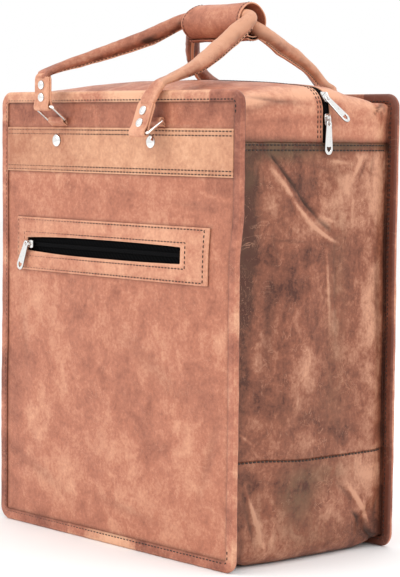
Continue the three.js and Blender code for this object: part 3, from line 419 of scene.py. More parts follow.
def fit_piece(piece: Piece, slot: str, *nodes: str, body: str = "bag") -> Piece:
    """Rides a piece on a body and hides the solids that it stands for."""
    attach(piece, body)
    if nodes:
        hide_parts(*nodes)
    log.info("piece %s on %s, %d faces", piece.name, body, len(piece.data.polygons))
    return piece


class Surface:
    """A patch of leather: a place for any two numbers, and the side that it faces."""

    def __init__(self, place: Place, span_u: float = 1.0, span_v: float = 1.0, flip: bool = False) -> None:
        """Keeps the function that places points.

        Args:
            place: Function from two arrays to points.
            span_u: Step for slopes in the first direction.
            span_v: Step for slopes in the second direction.
            flip: Whether the outward side is the other one.
        """
        self.place = place
        self.span_u = span_u
        self.span_v = span_v
        self.sign = -1.0 if flip else 1.0

    def normal(self, u: Array, v: Array) -> Array:
        """Outward directions at places."""
        across = self.place(u + self.span_u, v) - self.place(u - self.span_u, v)
        along = self.place(u, v + self.span_v) - self.place(u, v - self.span_v)
        return self.sign * unit(np.cross(across, along))

    def at(self, u: Array, v: Array, lift: Union[float, Array] = 0.0) -> Array:
        """Points at a height above the surface."""
        return self.place(u, v) + self.normal(u, v) * np.asarray(lift)[..., None]

    def sheet(self, name: str, us: Array, vs: Array, wall: float, finish: Material,
              marks: Callable[[Array, Array], Marks] | None = None,
              keep: Callable[[Array, Array], Array] | None = None, soft: float = 0.35,
              lift: float = 0.0) -> Piece:
        """Makes a closed sheet with a wall, its edges a little rounded.

        Args:
            name: Name of the piece.
            us: Grid lines in the first direction.
            vs: Grid lines in the second direction.
            wall: Thickness, inwards.
            finish: Its material.
            marks: Function that shades places.
            keep: Function that is true where a face's middle stays.
            soft: How far the outer edge is rounded down.
            lift: Height above the surface.

        Returns:
            The object.
        """
        u, v = np.meshgrid(us, vs, indexing="ij")
        base, normal = self.place(u, v), self.normal(u, v)
        border = np.zeros(u.shape, dtype=bool)
        border[0, :] = border[-1, :] = border[:, 0] = border[:, -1] = True
        outer = base + normal * (lift - np.where(border, soft, 0.0))[..., None]
        inner = base + normal * (lift - wall)
        rows, columns = u.shape
        number = np.arange(rows * columns).reshape(rows, columns)
        quads = np.stack([number[:-1, :-1], number[1:, :-1], number[1:, 1:], number[:-1, 1:]], axis=-1)
        kept = np.ones((rows - 1, columns - 1), dtype=bool)
        if keep is not None:
            kept = keep((u[:-1, :-1] + u[1:, 1:]) / 2, (v[:-1, :-1] + v[1:, 1:]) / 2)
        back = rows * columns
        front = quads[kept]
        faces = [front, front[:, ::-1] + back, self._rim(quads, kept, back)]
        points = np.concatenate([outer.reshape(-1, 3), inner.reshape(-1, 3)])
        quad_list = np.concatenate(faces)
        if volume(points, quad_list) < 0:
            quad_list = quad_list[:, ::-1]
        used = np.unique(quad_list)
        renumber = np.full(points.shape[0], -1)
        renumber[used] = np.arange(used.size)
        shades = None
        if marks is not None:
            given = marks(u, v)
            parts = (given.tone, given.olive, given.dark)
            shades = Marks(*(np.tile(part.ravel(), 2)[used] for part in parts))
        return new_object(name, points[used], renumber[quad_list].tolist(), finish, shades)

    @staticmethod
    def _rim(quads: Array, kept: Array, back: int) -> Array:
        """Quads that close the edges between the outer and inner faces."""
        padded = np.zeros((kept.shape[0] + 2, kept.shape[1] + 2), dtype=bool)
        padded[1:-1, 1:-1] = kept
        rim = []
        for edge, (di, dj) in enumerate([(0, -1), (1, 0), (0, 1), (-1, 0)]):
            beside = padded[1 + di:kept.shape[0] + 1 + di, 1 + dj:kept.shape[1] + 1 + dj]
            open_edge = quads[kept & ~beside]
            a, b = open_edge[:, edge], open_edge[:, (edge + 1) % 4]
            rim.append(np.stack([b, a, a + back, b + back], axis=-1))
        return np.concatenate(rim)


class Seams:
    """Collects stitches and makes them one piece of thread, pulled in deeper towards the front's left."""

    def __init__(self, radius: float = 0.6, pitch: float = 4.8, length: float = 3.0) -> None:
        """Keeps the thread's sizes."""
        self.radius = radius
        self.pitch = pitch
        self.length = length
        self.stitches: list[tuple[Array, Array, Array]] = []

    def along(self, points: Array, normals: Array) -> None:
        """Adds a row of stitches along a path.

        Args:
            points: Path, one row for each point.
            normals: Outward directions at those points.
        """
        lengths = lengths_along(points)
        count = int(lengths[-1] / self.pitch)
        if count < 1:
            return
        middles = (np.arange(count) + 0.5) * lengths[-1] / count

        def at(places: Array, rows: Array) -> Array:
            """Rows at lengths along the path."""
            return np.stack([np.interp(places, lengths, rows[:, k]) for k in range(3)], axis=-1)

        centre = at(middles, points)
        direction = unit(at(middles + 0.8, points) - at(middles - 0.8, points))
        outward = unit(at(middles, normals))
        outward = unit(outward - direction * np.sum(outward * direction, axis=1, keepdims=True))
        self.stitches.append((centre, direction, outward))

    def on(self, surface: Surface, us: Array, vs: Array, lift: float = 0.0) -> None:
        """Adds a row along a path on a surface."""
        us, vs = np.broadcast_arrays(np.asarray(us, float), np.asarray(vs, float))
        self.along(surface.at(us, vs, lift), surface.normal(us, vs))

    def build(self, name: str, finish: Material, slot: str) -> Piece:
        """Makes the thread piece from every row."""
        centre, direction, outward = (np.concatenate([s[k] for s in self.stitches]) for k in range(3))
        beside = np.cross(outward, direction)
        pulled = smooth((-centre[:, :1] - 10.0) / 110.0) * smooth((-centre[:, 1:2] - 100.0) / 4.0)
        radius = self.radius * (1.0 - 0.6 * pulled)
        rings = [(-0.5, 0.55, -0.35), (-0.4, 0.95, 0.05), (0.0, 1.0, 0.3), (0.4, 0.95, 0.05), (0.5, 0.55, -0.35)]
        sides = 6
        points = []
        for along, girth, height in rings:
            for turn in range(sides):
                angle = 2 * math.pi * turn / sides
                spot = centre + direction * along * self.length
                spot = spot + outward * radius * (height + girth * math.cos(angle))
                points.append(spot + beside * radius * girth * math.sin(angle))
        cloud = np.stack(points, axis=1)
        faces = []
        for low in range(0, (len(rings) - 1) * sides, sides):
            for k in range(sides):
                beyond = low + (k + 1) % sides
                faces.append([low + k, beyond, beyond + sides, low + k + sides])
        caps = [list(range(sides))[::-1], [(len(rings) - 1) * sides + k for k in range(sides)]]
        per = len(rings) * sides
        every = [[k + n * per for k in face] for n in range(cloud.shape[0]) for face in faces + caps]
        piece = new_object(name, cloud.reshape(-1, 3), every, finish)
        return fit_piece(piece, slot)


class Wire:
    """A socket of a shader node, with operators that add Math nodes."""

    def __init__(self, shade: Shade, socket: bpy.types.NodeSocket) -> None:
        """Keeps the socket and the graph that it is in."""
        self.shade = shade
        self.socket = socket

    def _math(self, operation: str, *values: Union[Wire, float]) -> Wire:
        """Adds one Math node."""
        return self.shade.node("ShaderNodeMath", {"operation": operation}, dict(enumerate(values)))

    def __add__(self, other: Union[Wire, float]) -> Wire:
        """Sum."""
        return self._math("ADD", self, other)

    def __radd__(self, other: float) -> Wire:
        """Sum with a number in front."""
        return self._math("ADD", other, self)

    def __sub__(self, other: Union[Wire, float]) -> Wire:
        """Difference."""
        return self._math("SUBTRACT", self, other)

    def __rsub__(self, other: float) -> Wire:
        """Difference from a number."""
        return self._math("SUBTRACT", other, self)

    def __mul__(self, other: Union[Wire, float]) -> Wire:
        """Product."""
        return self._math("MULTIPLY", self, other)

    def __rmul__(self, other: float) -> Wire:
        """Product with a number in front."""
        return self._math("MULTIPLY", other, self)

    def __abs__(self) -> Wire:
        """Size without its sign."""
        return self._math("ABSOLUTE", self)

    def clamp(self) -> Wire:
        """Kept from 0 to 1."""
        return self.shade.node("ShaderNodeClamp", {}, {"Value": self})

    def spread(self, low: float, high: float, start: float = 0.0, end: float = 1.0) -> Wire:
        """Maps low..high to start..end, smoothly and kept inside."""
        return self.shade.node("ShaderNodeMapRange", {"interpolation_type": "SMOOTHSTEP"}, {
            "Value": self, "From Min": low, "From Max": high, "To Min": start, "To Max": end})


class Shade:
    """A material's graph, built by expressions."""

    def __init__(self, name: str, roughness: float, metallic: float = 0.0, gloss: float = 0.5) -> None:
        """Starts a material with its main shader and its object coordinates."""
        self.material = bpy.data.materials.new(name)
        self.material.use_nodes = True
        self.tree = self.material.node_tree
        self.shader = self.tree.nodes["Principled BSDF"]
        self.shader.inputs["Roughness"].default_value = roughness
        self.shader.inputs["Metallic"].default_value = metallic
        self.shader.inputs["Specular IOR Level"].default_value = gloss
        self.place = self.node("ShaderNodeTexCoord", {}, {}, "Object")

    def node(self, kind: str, settings: dict, values: dict, output: Union[int, str] = 0) -> Wire:
        """Adds a node.

        Args:
            kind: The node's type.
            settings: Its own settings, set first. A ramp's stops are given as "stops".
            values: Values or wires for its sockets, by name or number.
            output: The output that is wanted.

        Returns:
            That output's wire.
        """
        made = self.tree.nodes.new(kind)
        for key, value in settings.items():
            if key == "stops":
                self._stops(made.color_ramp, value)
            else:
                setattr(made, key, value)
        for key, value in values.items():
            socket = made.inputs[key]
            if isinstance(value, Wire):
                self.tree.links.new(value.socket, socket)
            else:
                socket.default_value = value
        return Wire(self, made.outputs[output])

    @staticmethod
    def _stops(ramp: bpy.types.ColorRamp, stops: Sequence[tuple[float, Colour]]) -> None:
        """Sets a ramp's stops."""
        while len(ramp.elements) < len(stops):
            ramp.elements.new(0.5)
        for element, (position, colour) in zip(ramp.elements, stops):
            element.position = position
            element.color = (*colour, 1.0)

    def stretched(self, x: float, y: float, z: float) -> Wire:
        """Object coordinates scaled on each axis."""
        return self.node("ShaderNodeVectorMath", {"operation": "MULTIPLY"}, {0: self.place, 1: (x, y, z)})

    def noise(self, scale: float, detail: float = 3.0, rough: float = 0.5, place: Wire | None = None,
              twist: float = 0.0) -> Wire:
        """Noise from 0 to 1."""
        return self.node("ShaderNodeTexNoise", {}, {
            "Vector": place or self.place, "Scale": scale, "Detail": detail, "Roughness": rough,
            "Distortion": twist})

    def blend(self, first: Union[Wire, Colour], second: Union[Wire, Colour], share: Union[Wire, float],
              how: str = "MIX") -> Wire:
        """Colour between two colours."""
        first = first if isinstance(first, Wire) else (*first, 1.0)
        second = second if isinstance(second, Wire) else (*second, 1.0)
        settings = {"data_type": "RGBA", "blend_type": how}
        return self.node("ShaderNodeMix", settings, {0: share, 6: first, 7: second}, 2)

    def marks(self) -> tuple[Wire, Wire, Wire]:
        """The mesh's tone, olive and dark marks."""
        colour = self.node("ShaderNodeAttribute", {"attribute_name": "marks"}, {}, "Color")
        parts = self.node("ShaderNodeSeparateColor", {}, {"Color": colour})
        split = parts.socket.node
        return tuple(Wire(self, split.outputs[k]) for k in range(3))

    def finish(self, colour: Wire, roughness: Wire | None = None, height: Wire | None = None,
               strength: float = 0.3, distance: float = 0.0004) -> Material:
        """Links colour, roughness and bump, and returns the material."""
        self.tree.links.new(colour.socket, self.shader.inputs["Base Color"])
        if roughness is not None:
            self.tree.links.new(roughness.socket, self.shader.inputs["Roughness"])
        if height is not None:
            bump = self.node("ShaderNodeBump", {}, {"Strength": strength, "Distance": distance, "Height": height})
            self.tree.links.new(bump.socket, self.shader.inputs["Normal"])
        return self.material


@dataclass(frozen=True)
class LeatherFinish:
    """Oiled leather: mottled, grained, paler along its fine creases.

    Attributes:
        name: Material name.
        deep, middle, pale: Its colours from dark to light.
        roughness: Roughness of its middle tone.
        mottle: How strongly the tone varies.
        veins: How much the fine pale creases show.
        grain: Strength of the grain.
        gloss: Strength of its reflections.
        streaks: Strength of its upright streaks.
    """

    name: str
    deep: Colour
    middle: Colour
    pale: Colour
    roughness: float = 0.46
    mottle: float = 1.0
    veins: float = 0.3
    grain: float = 0.35
    gloss: float = 0.35
    streaks: float = 0.12

    def material(self) -> Material:
        """Makes the material."""
        shade = Shade(self.name, self.roughness, gloss=self.gloss)
        tone, olive, dark = shade.marks()
        blotch = shade.noise(62.0, 4.0, 0.6, twist=0.5)
        speck = shade.noise(300.0, 4.0, 0.7)
        streak = shade.noise(1.0, 3.0, 0.6, shade.stretched(110.0, 110.0, 26.0), 1.0)
        crease = shade.noise(30.0, 5.0, 0.62, twist=1.6)
        hair = shade.noise(1.0, 2.0, 0.5, shade.stretched(70.0, 90.0, 60.0), 3.0)
        thin = shade.noise(26.0, 3.0)
        vein = abs(crease - 0.5).spread(0.0, 0.016, 1.0, 0.0) * thin.spread(0.5, 0.66)
        vein = vein + abs(hair - 0.5).spread(0.0, 0.014, 1.0, 0.0) * thin.spread(0.5, 0.34)
        level = 0.5 + (shade.noise(15.0, 2.0) - 0.5) * (0.75 * self.mottle) + (blotch - 0.5) * (0.7 * self.mottle)
        # Tone marks carry the leather's own tone together with painted light and shade.
        level = level + (speck - 0.5) * 0.65 + (streak - 0.5) * self.streaks + (tone - 0.5) * 1.25
        colour = shade.node("ShaderNodeValToRGB", {"stops": (
            (0.1, self.deep), (0.5, self.middle), (0.9, self.pale))}, {"Fac": level})
        colour = shade.blend(colour, self.pale, (vein * self.veins).clamp())
        green = olive * blotch.spread(0.28, 0.6)
        colour = shade.blend(colour, (0.135, 0.075, 0.038), (green * 0.8).clamp())
        # Dark marks, painted shade for the most part, turn the colour near black.
        colour = shade.blend(colour, (0.034, 0.014, 0.008), (dark * 0.9).clamp())
        height = shade.noise(1500.0, 3.0) * 0.5 + shade.noise(210.0, 4.0) + speck * 0.5 - vein * 0.6
        rough = (self.roughness + (blotch - 0.5) * -0.35 + (speck - 0.5) * 0.15).clamp()
        return shade.finish(colour, rough, height, self.grain, 0.0006)


@dataclass(frozen=True)
class MetalFinish:
    """Bright nickel plate with faint darker grey patches, and painted shade where a mesh is marked dark."""

    name: str = "bright_nickel"
    colour: Colour = (0.88, 0.87, 0.85)
    roughness: float = 0.16

    def material(self) -> Material:
        """Makes the material."""
        shade = Shade(self.name, self.roughness, 1.0)
        patch_noise = shade.noise(420.0, 4.0)
        colour = shade.blend(self.colour, (0.55, 0.53, 0.50), patch_noise.spread(0.5, 0.8) * 0.5)
        # Painted shade: places marked dark turn near black.
        colour = shade.blend(colour, (0.07, 0.062, 0.055), shade.marks()[2].clamp())
        rough = self.roughness + (patch_noise - 0.5) * 0.18
        return shade.finish(colour, rough, shade.noise(900.0, 2.0), 0.05, 0.0001)


@dataclass(frozen=True)
class WovenFinish:
    """Black woven tape or coil teeth."""

    name: str
    colour: Colour = (0.001, 0.001, 0.0012)
    roughness: float = 0.85
    weave: float = 2400.0

    def material(self) -> Material:
        """Makes the material."""
        shade = Shade(self.name, self.roughness, gloss=0.03)
        warp = shade.node("ShaderNodeTexWave", {"wave_type": "BANDS", "bands_direction": "DIAGONAL"}, {
            "Vector": shade.place, "Scale": self.weave / 20, "Distortion": 0.4})
        dust = shade.noise(500.0, 4.0)
        level = warp * 0.5 + dust * 0.5
        lifted = tuple(2.4 * part + 0.002 for part in self.colour)
        colour = shade.blend(self.colour, lifted, level.spread(0.3, 0.8))
        return shade.finish(colour, self.roughness + (dust - 0.5) * 0.1, level, 0.4, 0.0002)


@dataclass(frozen=True)
class ThreadFinish:
    """Waxed thread with a twist."""

    name: str = "dark_thread"
    colour: Colour = (0.022, 0.010, 0.006)

    def material(self) -> Material:
        """Makes the material."""
        shade = Shade(self.name, 0.55)
        twist = shade.node("ShaderNodeTexWave", {"wave_type": "BANDS", "bands_direction": "DIAGONAL"}, {
            "Vector": shade.place, "Scale": 260.0})
        lighter = tuple(2.0 * part for part in self.colour)
        colour = shade.blend(self.colour, lighter, twist * shade.noise(300.0, 3.0))
        return shade.finish(colour, None, twist, 0.4, 0.0002)


class Finishes:
    """Every material of the bag, made once."""

    def __init__(self) -> None:
        """Makes the materials."""
        self.main = LeatherFinish("main_leather", (0.22, 0.066, 0.038), (0.455, 0.166, 0.097),
                                  (0.70, 0.35, 0.215)).material()
        self.light = LeatherFinish("light_leather", (0.40, 0.155, 0.085), (0.64, 0.325, 0.19),
                                   (0.84, 0.51, 0.33), mottle=0.8).material()
        self.dark = LeatherFinish("dark_leather", (0.078, 0.022, 0.012), (0.268, 0.09, 0.049),
                                  (0.58, 0.285, 0.178), mottle=1.3, veins=0.55, gloss=0.3, streaks=0.3).material()
        self.edge = LeatherFinish("edge_leather", (0.22, 0.066, 0.04), (0.465, 0.172, 0.104),
                                  (0.76, 0.42, 0.26), mottle=0.9, grain=0.45).material()
        self.nickel = MetalFinish().material()
        self.tape = WovenFinish("zip_tape").material()
        self.teeth = WovenFinish("zip_teeth", (0.0022, 0.0022, 0.0025), 0.6, 4000.0).material()
        self.thread = ThreadFinish().material()


class Kind(Enum):
    """Kind of place on the gusset's outline."""

    SIDE = 0
    TOP_CORNER = 1
    TOP = 2
    BOTTOM_CORNER = 3
    BOTTOM = 4


class Run:
    """A run of stations along the gusset, and the leather surface on it."""

    def __init__(self, stations: Sequence[tuple[Kind, int, float]]) -> None:
        """Keeps the stations as arrays."""
        self.kind = np.array([kind.value for kind, _, _ in stations])
        self.side = np.array([float(side) for _, side, _ in stations])
        self.value = np.array([value for _, _, value in stations])
        self.count = len(stations)
        self.surface = Surface(self.leather, 0.5, 1.0)
        middle = self.surface.normal(np.array([1.0]), np.array([0.0]))[0]
        self.surface.sign = 1.0 if middle[0] * self.side[1] > 0 else -1.0

    @staticmethod
    def side_run(side: int, start: float, end: float, step: float = 3.0) -> list[tuple[Kind, int, float]]:
        """Stations up or down a side."""
        count = max(2, int(abs(end - start) / step) + 1)
        return [(Kind.SIDE, side, z) for z in np.linspace(start, end, count)]

    @classmethod
    def over(cls, lowest: float) -> Run:
        """Run over the top, from the right side to the left."""
        high = Form.seam_high - Form.seam_corner - 6.0
        turn = [(Kind.TOP_CORNER, 1, a) for a in np.linspace(0, 90, 14)]
        span = np.linspace(Form.corner_end * 0.98, -Form.corner_end * 0.98, 92)
        back = [(Kind.TOP_CORNER, -1, a) for _, _, a in reversed(turn)]
        return cls([*cls.side_run(1, lowest, high), *turn, *[(Kind.TOP, 1, x) for x in span], *back,
                    *cls.side_run(-1, high, lowest)])

    @classmethod
    def under(cls, highest: float) -> Run:
        """Run under the base, from the right side to the left."""
        low = Form.bottom_corner + Form.seam_low + 2.0
        turn = [(Kind.BOTTOM_CORNER, 1, a) for a in np.linspace(0, 90, 14)]
        end = (Form.seam_half - Form.bottom_corner) * 0.98
        span = np.linspace(end, -end, 80)
        back = [(Kind.BOTTOM_CORNER, -1, a) for _, _, a in reversed(turn)]
        return cls([*cls.side_run(1, highest, low, 1.8), *turn, *[(Kind.BOTTOM, 1, x) for x in span], *back,
                    *cls.side_run(-1, low, highest, 1.8)])

    def _station(self, index: Array, across: Array) -> Array:
        """Bare form at whole stations; across runs past the seams into the flanges."""
        index = np.clip(index, 0, self.count - 1)
        kind, side, value = self.kind[index], self.side[index], self.value[index]
        y = np.clip(across, -Form.half_depth, Form.half_depth)
        outset = np.maximum(np.abs(across) - Form.half_depth, 0.0)
        full, sag = Form.fullness(y), Form.sag(y)
        at_top = kind == Kind.TOP_CORNER.value
        radius = mix(Form.seam_corner + outset, np.where(at_top, Form.top_corner, Form.bottom_corner),
                     np.where(at_top, full, sag))
        bottom = (Form.seam_low - outset) * (1 - sag)
        height = np.where(at_top, Form.top(np.array(Form.corner_end), y, outset) - radius, bottom + radius)
        angle = np.radians(value)
        corner_x = side * (Form.half_width(height, y, outset) - radius + radius * np.cos(angle))
        corner_z = height + np.where(at_top, 1.0, -1.0) * radius * np.sin(angle)
        x = np.where(kind == Kind.SIDE.value, side * Form.half_width(value, y, outset), corner_x)
        z = np.where(kind == Kind.SIDE.value, value, corner_z)
        flat = (kind == Kind.TOP.value) | (kind == Kind.BOTTOM.value)
        x = np.where(flat, value, x)
        z = np.where(kind == Kind.BOTTOM.value, bottom, z)
        z = np.where(kind == Kind.TOP.value, Form.top(value, y, outset), z)
        return np.stack([x, y, z], axis=-1)

    def bare(self, along: Array, across: Array) -> Array:
        """Bare form between stations."""
        along = np.clip(along, -0.999, self.count - 0.001)
        low = np.floor(along).astype(int)
        return mix(self._station(low, across), self._station(low + 1, across), (along - low)[..., None])

    def leather(self, along: Array, across: Array) -> Array:
        """Form with its folds and slack."""
        points = self.bare(along, across)
        ahead = self.bare(along + 0.6, across) - self.bare(along - 0.6, across)
        beside = self.bare(along, across + 0.8) - self.bare(along, across - 0.8)
        normal = unit(np.cross(ahead, beside))
        outward = np.where(np.sum(normal * (points - np.array([0.0, 0.0, 230.0])), axis=-1) > 0, 1.0, -1.0)
        edge = np.clip((1.0 - np.abs(across) / Form.half_depth) * 5.0, 0.0, 1.0)
        points = points + normal * (outward * edge * self.relief(points))[..., None]
        x, z = points[..., 0], points[..., 2]
        tuck = smooth((np.abs(x) - 165.0) / 10.0) * smooth((z - 12.0) / 30.0) * smooth((446.0 - z) / 20.0)
        points[..., 0] -= np.sign(x) * Form.seam_tuck * tuck * smooth((across - 86.0) / 14.0)
        return Form.settle(points)

    @staticmethod
    def relief(points: Array) -> Array:
        """Height of folds and soft waves over the bare form."""
        x, y, z = points[..., 0], points[..., 1], points[..., 2]
        on_side = smooth((np.abs(x) - 168.0) / 12.0)
        height = np.zeros(x.shape)
        for fold in (*GUSSET_FOLDS, *FINE_FOLDS):
            height -= np.where(np.sign(x) == fold.side, on_side * fold.depth(y, z), 0.0)
        loose = smooth(z / 30.0) * smooth((20.0 - np.abs(y - Form.zip_centre)) / -12.0 + 1.0)
        wave = 0.9 * SOFT(points, 64.0) + 0.45 * SOFT(points, 27.0) + 0.22 * SOFT(points, 11.0)
        return height + wave * mix(0.25, 1.0, loose)

    def row(self, across: float, start: float, end: float) -> tuple[Array, Array]:
        """Places of a straight row along the run."""
        along = np.arange(start, end, 0.5)
        return along, np.full(along.shape, across)


@dataclass
class Gusset:
    """Strips beside the zip, side panels and base.

    Attributes:
        finishes: Materials.
        flange: How far the edges reach into the bindings.
    """

    finishes: Finishes
    flange: float = 8.0
    thread: Seams = field(default_factory=Seams)

    def lines(self, low: float, high: float, step: float, *rows: float) -> Array:
        """Places across the depth, with close lines at the seams and rows."""
        seams = [s for s in (-Form.half_depth, Form.half_depth) if low < s < high]
        return steps(low, high, step, *seams, *rows)

    def shades(self, run: Run, along: Array, across: Array) -> Marks:
        """Marks of the gusset's leather, with painted light and shade."""
        points = run.bare(along, across)
        x, y, z = points[..., 0], points[..., 1], points[..., 2]
        on_side = smooth((np.abs(x) - 150.0) / 25.0)
        tone, olive = patched(y, z, SIDE_PATCHES)
        tone = mix(0.5, tone, on_side)
        # Painted shade in the channel beside the bindings: darker and lower in tone.
        seam = bell(Form.half_depth - np.minimum(np.abs(across), Form.half_depth), 2.0)
        # Painted shade in the fine creases, painted highlight on their ridges.
        crease = sum(np.where(np.sign(x) == fold.side, fold.depth(y, z), 0.0) for fold in FINE_FOLDS)
        crease = crease * on_side
        fall = Form.top(np.array(Form.corner_end), y, 0.0) - z
        # Painted highlight along the rounded shoulder where the side turns into the top.
        shoulder_highlight = bell(fall - 6.0, 6.5) * on_side * (0.6 + 0.5 * SOFT(points, 22.0))
        # Painted shade in the crease just below that shoulder, on the front half.
        under = bell(fall - 17.0 - 0.03 * y, 3.0) * on_side * smooth((-y - 5.0) / 30.0)
        # The last term of dark paints a contact shadow along the bottom edge, where the bag stands on the floor.
        dark = 0.3 * seam + 0.3 * under + np.clip(0.5 * crease, 0.0, 0.9) + 0.5 * bell(z, 3.5)
        strip = smooth((fall - 24.0) / 8.0) * smooth((z - 425.0) / 6.0)
        tone = tone + np.clip(-0.4 * crease, 0.0, 0.45) - 0.1 * strip + 0.55 * shoulder_highlight - 0.15 * seam
        # Painted light and shade: lighter where the relief stands out, darker where it sinks.
        tone = tone + np.clip(Run.relief(points), -1.0, 1.0) * 0.07
        slot = bell(np.maximum(np.abs(y - Form.zip_centre) - Form.zip_slot / 2, 0.0), 1.2)
        tone = tone + 0.25 * slot * (z > Form.upper_seam)
        return Marks(tone, olive * on_side, dark)

    def build(self) -> None:
        """Makes the five pieces and their thread."""
        reach = Form.half_depth + self.flange
        over = Run.over(Form.upper_seam + Form.gap / 2)
        stations = np.arange(over.count, dtype=float)
        front = Form.zip_centre - Form.zip_slot / 2
        rear = Form.zip_centre + Form.zip_slot / 2
        for name, low, high in (("top_strip_front", -reach, front), ("top_strip_back", rear, reach)):
            lines = self.lines(low, high, 3.0, front - 3.2, front - 7.2)
            piece = over.surface.sheet(name + "_leather", stations, lines, Form.leather, self.finishes.main,
                                       lambda a, b: self.shades(over, a, b))
            fit_piece(piece, "main_leather", name)
        for across in (front - 3.2, front - 7.2, reach - self.flange + 3.0):
            self.thread.on(over.surface, *over.row(across, 1.0, over.count - 1.0))

        bold = Seams(0.8, 4.6, 3.3)
        for side, name in ((1, "side_panel_right"), (-1, "side_panel_left")):
            low, high = Form.lower_seam + Form.gap / 2, Form.upper_seam - Form.gap / 2
            run = Run(Run.side_run(side, low, high, 1.8))
            lines = self.lines(-reach, reach, 1.8)
            piece = run.surface.sheet(name + "_leather", np.arange(run.count, dtype=float), lines, Form.leather,
                                      self.finishes.dark, lambda a, b, r=run: self.shades(r, a, b))
            fit_piece(piece, "dark_leather", name)
            across = np.arange(-100.0, 100.5, 1.0)
            for z in (Form.upper_seam - 2.4, Form.upper_seam - 7.4):
                index = (z - low) / (high - low) * (run.count - 1)
                bold.on(run.surface, np.full(across.shape, index), across)
            self.thread.on(run.surface, *run.row(reach - self.flange + 3.0, 1.0, run.count - 1.0))

        under = Run.under(Form.lower_seam - Form.gap / 2)
        lines = self.lines(-reach, reach, 2.0)
        piece = under.surface.sheet("base_panel_leather", np.arange(under.count, dtype=float), lines, Form.leather,
                                    self.finishes.dark, lambda a, b: self.shades(under, a, b))
        fit_piece(piece, "dark_leather", "base_panel")
        across = np.arange(-100.0, 100.5, 1.0)
        for index in (0.4, under.count - 1.4):
            bold.on(under.surface, np.full(across.shape, index), across)
        bold.build("side_seam_thread", self.finishes.thread, "dark_leather")
        self.thread.build("gusset_thread", self.finishes.thread, "dark_leather")


